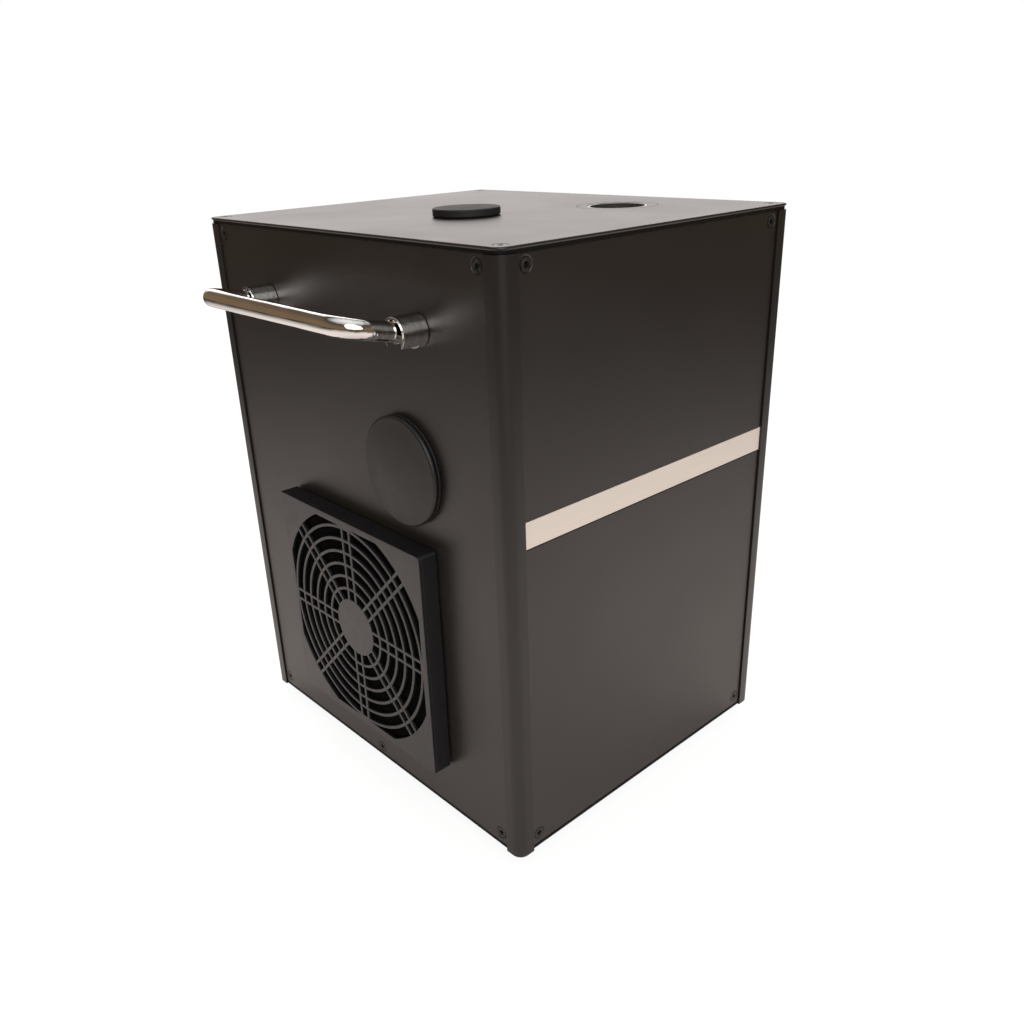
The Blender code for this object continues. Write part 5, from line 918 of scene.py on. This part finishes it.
GUARD_DISC = 0.0163
GUARD_RINGS = 6
GUARD_FIRST_RING = 0.0225
GUARD_LAST_RING = 0.05865
GUARD_BAR = 0.0018
GUARD_PAIR = 0.0031
GUARD_CORNER = 0.0643
GUARD_FACE = 0.002
GUARD_WALL = 0.002
GUARD_RIM = 0.0037
GUARD_EDGE = 0.0003
GUARD_ROUNDING = 0.0024
GUARD_WELD = 0.000002
ARC_STEP = 2.5

# Painted light: the black plastic is tinted blue, standing for a bluish light falling from above.
guard_plastic_blue_painted_light = moulded_black("guard_plastic_blue_painted_light", (0.0033, 0.0035, 0.0049), 0.36, 0.42, 0.76)
low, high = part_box("fan_guard")
guard_middle = (low + high) / 2
guard_half = (high.y - low.y) / 2
guard_depth = high.x - low.x


def arc_points(radius, start, end):
    steps = max(2, math.ceil(abs(end - start) / math.radians(ARC_STEP)))
    turns = [start + (end - start) * i / steps for i in range(steps + 1)]
    return [(radius * math.cos(turn), radius * math.sin(turn)) for turn in turns]


def slot_outline(inner, outer, spoke, next_spoke, offset, next_offset):
    """One opening between two rings, from one bar's edge round to the next bar's."""
    start_in = spoke + math.asin(offset / inner)
    end_in = next_spoke + math.asin(next_offset / inner)
    start_out = spoke + math.asin(offset / outer)
    end_out = next_spoke + math.asin(next_offset / outer)
    return arc_points(inner, start_in, end_in) + arc_points(outer, end_out, start_out)


def corner_outline(spoke, sign, bar_edge):
    """The opening between the last ring and the frame, on one side of a diagonal pair."""
    half = guard_half - GUARD_RIM
    flat = math.acos(half / GUARD_CORNER)
    touch = math.acos(half / GUARD_LAST_RING)
    near = math.asin(bar_edge / GUARD_CORNER)
    start = spoke + sign * near
    clip = spoke + sign * (math.pi / 4 - flat)
    meet = spoke + sign * (math.pi / 4 - touch)
    rim = arc_points(GUARD_CORNER, start, clip)
    ring = arc_points(GUARD_LAST_RING, meet, spoke + sign * math.asin(bar_edge / GUARD_LAST_RING))
    return rim + ring


inner_edge = GUARD_PAIR - GUARD_BAR / 2
outer_edge = GUARD_PAIR + GUARD_BAR / 2
pitch = (GUARD_LAST_RING - GUARD_BAR / 2 - GUARD_FIRST_RING) / (GUARD_RINGS - 1)
openings = []
start_radius = GUARD_DISC
for ring in range(GUARD_RINGS):
    end_radius = GUARD_FIRST_RING + ring * pitch - GUARD_BAR / 2
    for eighth in range(8):
        spoke = eighth * math.pi / 4
        openings.append(slot_outline(start_radius, end_radius, spoke, spoke, -inner_edge, inner_edge))
        openings.append(slot_outline(
            start_radius, end_radius, spoke, spoke + math.pi / 4, outer_edge, -outer_edge
        ))
    start_radius = end_radius + GUARD_BAR
for quarter in range(4):
    spoke = math.pi / 4 + quarter * math.pi / 2
    openings.append(slot_outline(GUARD_LAST_RING, GUARD_CORNER, spoke, spoke, -inner_edge, inner_edge))
    for sign in (-1, 1):
        openings.append(corner_outline(spoke, sign, outer_edge))


def flat_plate(name, outlines, thickness, edge):
    """A plate cut from flat outlines, the first its own edge, with all its edges rounded."""
    drawing = bpy.data.curves.new(name, "CURVE")
    drawing.dimensions = "2D"
    drawing.fill_mode = "BOTH"
    drawing.extrude = thickness / 2 - edge
    drawing.bevel_depth = edge
    drawing.bevel_resolution = 1
    drawing.offset = -edge
    for outline in outlines:
        line = drawing.splines.new("POLY")
        line.points.add(len(outline) - 1)
        for point, (a, b) in zip(line.points, outline):
            point.co = (a, b, 0.0, 1.0)
        line.use_cyclic_u = True
    piece = bpy.data.objects.new(name, drawing)
    bpy.context.scene.collection.objects.link(piece)
    only(piece)
    bpy.ops.object.convert(target="MESH")
    return bpy.context.object


def even_out(piece):
    """Smooth the rounded edges, and keep the flats between them flat."""
    only(piece)
    bpy.ops.object.mode_set(mode="EDIT")
    bpy.ops.mesh.select_all(action="SELECT")
    bpy.ops.mesh.remove_doubles(threshold=GUARD_WELD)
    bpy.ops.object.mode_set(mode="OBJECT")
    smooth_shade(50)
    weights = piece.modifiers.new("weights", "WEIGHTED_NORMAL")
    weights.keep_sharp = True
    bpy.ops.object.modifier_apply(modifier=weights.name)


def square(half, rounding=0.0):
    """A square, whose upper front corner may be rounded."""
    corner = [(half, half)]
    if rounding:
        middle = half - rounding
        turns = arc_points(rounding, 0.0, math.pi / 2)[::6]
        corner = [(middle + a, middle + b) for a, b in turns]
    return [(-half, -half), (half, -half)] + corner + [(-half, half)]


web = flat_plate(
    "fan_guard_cover", [square(guard_half, GUARD_ROUNDING)] + openings, GUARD_FACE, GUARD_EDGE
)
web.data.transform(Matrix.Translation((0.0, 0.0, guard_depth - GUARD_FACE / 2)))
wall_depth = guard_depth - GUARD_FACE
walls = flat_plate(
    "fan_guard_walls",
    [square(guard_half, GUARD_ROUNDING), square(guard_half - GUARD_WALL)],
    wall_depth, GUARD_EDGE,
)
walls.data.transform(Matrix.Translation((0.0, 0.0, wall_depth / 2 + GUARD_EDGE)))
only(web)
walls.select_set(True)
bpy.ops.object.join()
even_out(web)
web.data.transform(
    Matrix.Translation((high.x, guard_middle.y, guard_middle.z)) @ FACE_TURNS["left"].to_4x4()
)
fitted(web, guard_plastic_blue_painted_light, "cabinet", "fan_guard", "fan_guard")
dressed("fan_guard_base", guard_plastic_blue_painted_light)


# Handles
# Chromed steel bars bent at right angles twice, which rest a little above level. Each end turns
# on a pin in a chromed boss, bored to a cup and slotted below so that the bar can fold down.

BAR_RADIUS = 0.00435
BAR_BEND = 0.012
BAR_REACH = 0.0371
BAR_END_ROUNDING = 0.0018
BAR_WELD = 0.000001
BEND_STEPS = 14
HANDLE_LIFT = 12.7
PIVOT_REACH = 0.0083
BOSS_RADIUS = 0.0075
BOSS_LENGTH = 0.0133
BOSS_WALL = 0.0013
BOSS_FLOOR = 0.0036
BOSS_GAP = 0.0003
BOSS_ROUNDING = 0.00035
SLOT_ROOM = 0.0012
SLOT_OVERRUN = 0.0003
PIN_RADIUS = 0.0015
PIN_ROUNDING = 0.0003

chrome = new_finish("handle_chrome", (0.86, 0.85, 0.83), 0.06, 1.0)
handling = noise(chrome, 0.012)
colour_from(chrome, handling, (0.82, 0.81, 0.79), (0.88, 0.87, 0.86))
roughness_from(chrome, handling, 0.04, 0.11)
drawn_ripples = noise(chrome, 0.0022, (1.0, 14.0, 1.0), 2.0)
bump_from(chrome, drawn_ripples, 0.00015)


def bent_bar(name, panel_x, sign, middle_y, span, height):
    """A circle drawn out from one pin, turned through two bends, and back to the other pin."""
    pivot_x = panel_x + sign * (PIVOT_REACH - BAR_RADIUS)
    outer_x = panel_x + sign * BAR_REACH
    first_y = middle_y - span / 2
    last_y = first_y + span
    bpy.ops.object.select_all(action="DESELECT")
    bpy.ops.mesh.primitive_circle_add(
        vertices=40, radius=BAR_RADIUS, location=(pivot_x, first_y, height),
        rotation=(0.0, math.pi / 2, 0.0),
    )
    bar = bpy.context.object
    bar.name = name
    bpy.ops.object.transform_apply(location=True, rotation=True, scale=True)
    bpy.ops.object.mode_set(mode="EDIT")
    bpy.ops.mesh.select_mode(type="EDGE")
    bpy.ops.mesh.select_all(action="SELECT")
    arm = abs(outer_x - pivot_x) - BAR_BEND
    bend_x = outer_x - sign * BAR_BEND
    for draw, bend_y in (
        ({"x": sign * arm}, first_y + BAR_BEND), ({"y": span - 2 * BAR_BEND}, last_y - BAR_BEND)
    ):
        push(**draw)
        bpy.ops.mesh.spin(
            steps=BEND_STEPS, angle=math.pi / 2, center=(bend_x, bend_y, height),
            axis=(0.0, 0.0, -sign),
        )
    push(x=-sign * arm)
    for end_y in (first_y, last_y):
        pick(bar, "EDGE", lambda middle, edge: (
            len(edge.link_faces) == 1 and abs(middle.y - end_y) < BAR_BEND / 2
        ))
        bpy.ops.mesh.edge_face_add()
    bpy.ops.mesh.select_all(action="SELECT")
    bpy.ops.mesh.remove_doubles(threshold=BAR_WELD)
    finished(bar, BAR_END_ROUNDING, 4, 50)
    pivot = Vector((panel_x + sign * PIVOT_REACH, middle_y, height))
    lift = Matrix.Rotation(-sign * math.radians(HANDLE_LIFT), 4, "Y")
    bar.data.transform(Matrix.Translation(pivot) @ lift @ Matrix.Translation(-pivot))
    return bar


def turned_boss(name, panel_x, sign, y, height):
    """A drum bored from its outer end, slotted below, with its cross pin."""
    ends = (panel_x + sign * BOSS_GAP, panel_x + sign * BOSS_LENGTH)
    boss = drum(name, BOSS_RADIUS, min(ends), max(ends), (0.0, y, height), "X", 64)
    end_face(boss, "X", ends[1])
    step_in(BOSS_WALL)
    push(x=sign * (BOSS_FLOOR - BOSS_LENGTH))
    finished(boss, 0.0)
    bpy.ops.object.select_all(action="DESELECT")
    slot_x = panel_x + sign * (BOSS_FLOOR + BOSS_LENGTH) / 2 + sign * SLOT_OVERRUN
    bpy.ops.mesh.primitive_cube_add(size=1.0, location=(slot_x, y, height - BOSS_RADIUS / 2))
    cutter = bpy.context.object
    cutter.scale = (BOSS_LENGTH - BOSS_FLOOR, 2 * BAR_RADIUS + SLOT_ROOM, BOSS_RADIUS)
    cut_away(boss, cutter)
    round_edges(boss, BOSS_ROUNDING, 3)
    pivot_x = panel_x + sign * PIVOT_REACH
    reach = BOSS_RADIUS - BOSS_WALL / 2
    pin = drum("pin", PIN_RADIUS, y - reach, y + reach, (pivot_x, y, height), "Y", 24)
    finished(pin, PIN_ROUNDING)
    only(boss)
    pin.select_set(True)
    bpy.ops.object.join()
    return boss


for side, sign in (("left", -1), ("right", 1)):
    panel_low, panel_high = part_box(f"{side}_panel")
    panel_x = panel_low.x if sign < 0 else panel_high.x
    bar_low, bar_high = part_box(f"{side}_handle_bar")
    boss_low, boss_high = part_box(f"{side}_handle_boss_front")
    height = (boss_low.z + boss_high.z) / 2
    middle_y = (bar_low.y + bar_high.y) / 2
    span = bar_high.y - bar_low.y - 2 * BAR_RADIUS
    bar = bent_bar(f"{side}_handle_bar_chromed", panel_x, sign, middle_y, span, height)
    fitted(bar, chrome, f"{side}_handle", f"{side}_handle_bar", f"{side}_handle_bar")
    for end in ("front", "rear"):
        node = f"{side}_handle_boss_{end}"
        boss_low, boss_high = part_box(node)
        boss_y = (boss_low.y + boss_high.y) / 2
        boss = turned_boss(f"{node}_chromed", panel_x, sign, boss_y, height)
        fitted(boss, chrome, "cabinet", node, node)


# Control module
# A moulded bezel over a cut-out in the rear panel holds a smoked window for the digits and four
# soft keys that reach to the switches behind.

KEY_RADIUS = 0.0043
KEY_RIM = 0.0012
KEY_SHOULDER = 0.0013
KEY_ROUNDING = 0.0006

bezel_plastic = moulded_black("bezel_plastic", (0.02, 0.02, 0.021), 0.36, 0.46)
dressed("control_bezel", bezel_plastic, radius=0.0006, steps=3)
smoked = new_finish("window_smoked", (0.03, 0.008, 0.006), 0.08)
fingermarks = noise(smoked, 0.007)
colour_from(smoked, fingermarks, (0.024, 0.006, 0.005), (0.034, 0.01, 0.008))
roughness_from(smoked, fingermarks, 0.05, 0.14)
dressed("display_window", smoked, radius=0.0002)

key_rubber = moulded_black("key_rubber", (0.05, 0.05, 0.052), 0.5, 0.62)
rear_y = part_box("rear_panel")[1].y
for number in range(1, 5):
    node = f"menu_button_{number}"
    low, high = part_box(node)
    middle = (low + high) / 2
    key = drum(f"{node}_moulded", KEY_RADIUS, rear_y, high.y, middle, "Y", 48)
    for width in (KEY_RIM, KEY_SHOULDER):
        end_face(key, "Y", rear_y)
        step_in(width)
    push(y=low.y - rear_y)
    finished(key, KEY_ROUNDING, 3)
    fitted(key, key_rubber, node, node, node)


# Switch and sockets
# Along the foot of the rear panel are a rocker switch, a mains inlet and two round signal
# sockets, each with its own flange and screws.

SOCKET_SCREWS = {
    "mains_inlet": (0.0195, 0.0), "signal_input": (0.0095, 0.012), "signal_output": (0.0095, 0.012)
}

switch_plastic = moulded_black("switch_plastic", (0.016, 0.016, 0.017), 0.28, 0.36)
dressed("switch_frame", switch_plastic)
dressed("power_rocker", switch_plastic, radius=0.0004, body="power_rocker")
dressed("mains_inlet", works_plastic)
socket_steel = new_finish("socket_nickel", (0.55, 0.53, 0.5), 0.28, 1.0)
handled = noise(socket_steel, 0.003)
colour_from(socket_steel, handled, (0.46, 0.44, 0.42), (0.62, 0.6, 0.57))
roughness_from(socket_steel, handled, 0.22, 0.38)
dressed("signal_input", socket_steel)
dressed("signal_output", socket_steel)
for node, (across, rise) in SOCKET_SCREWS.items():
    low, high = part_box(node)
    middle = (low + high) / 2
    for number, sign in enumerate((-1, 1), start=1):
        at = Vector((middle.x - sign * across, high.y, middle.z + sign * rise))
        add_screw(f"{node}_screw_{number}", "rear", at)

bpy.data.objects.remove(screw)
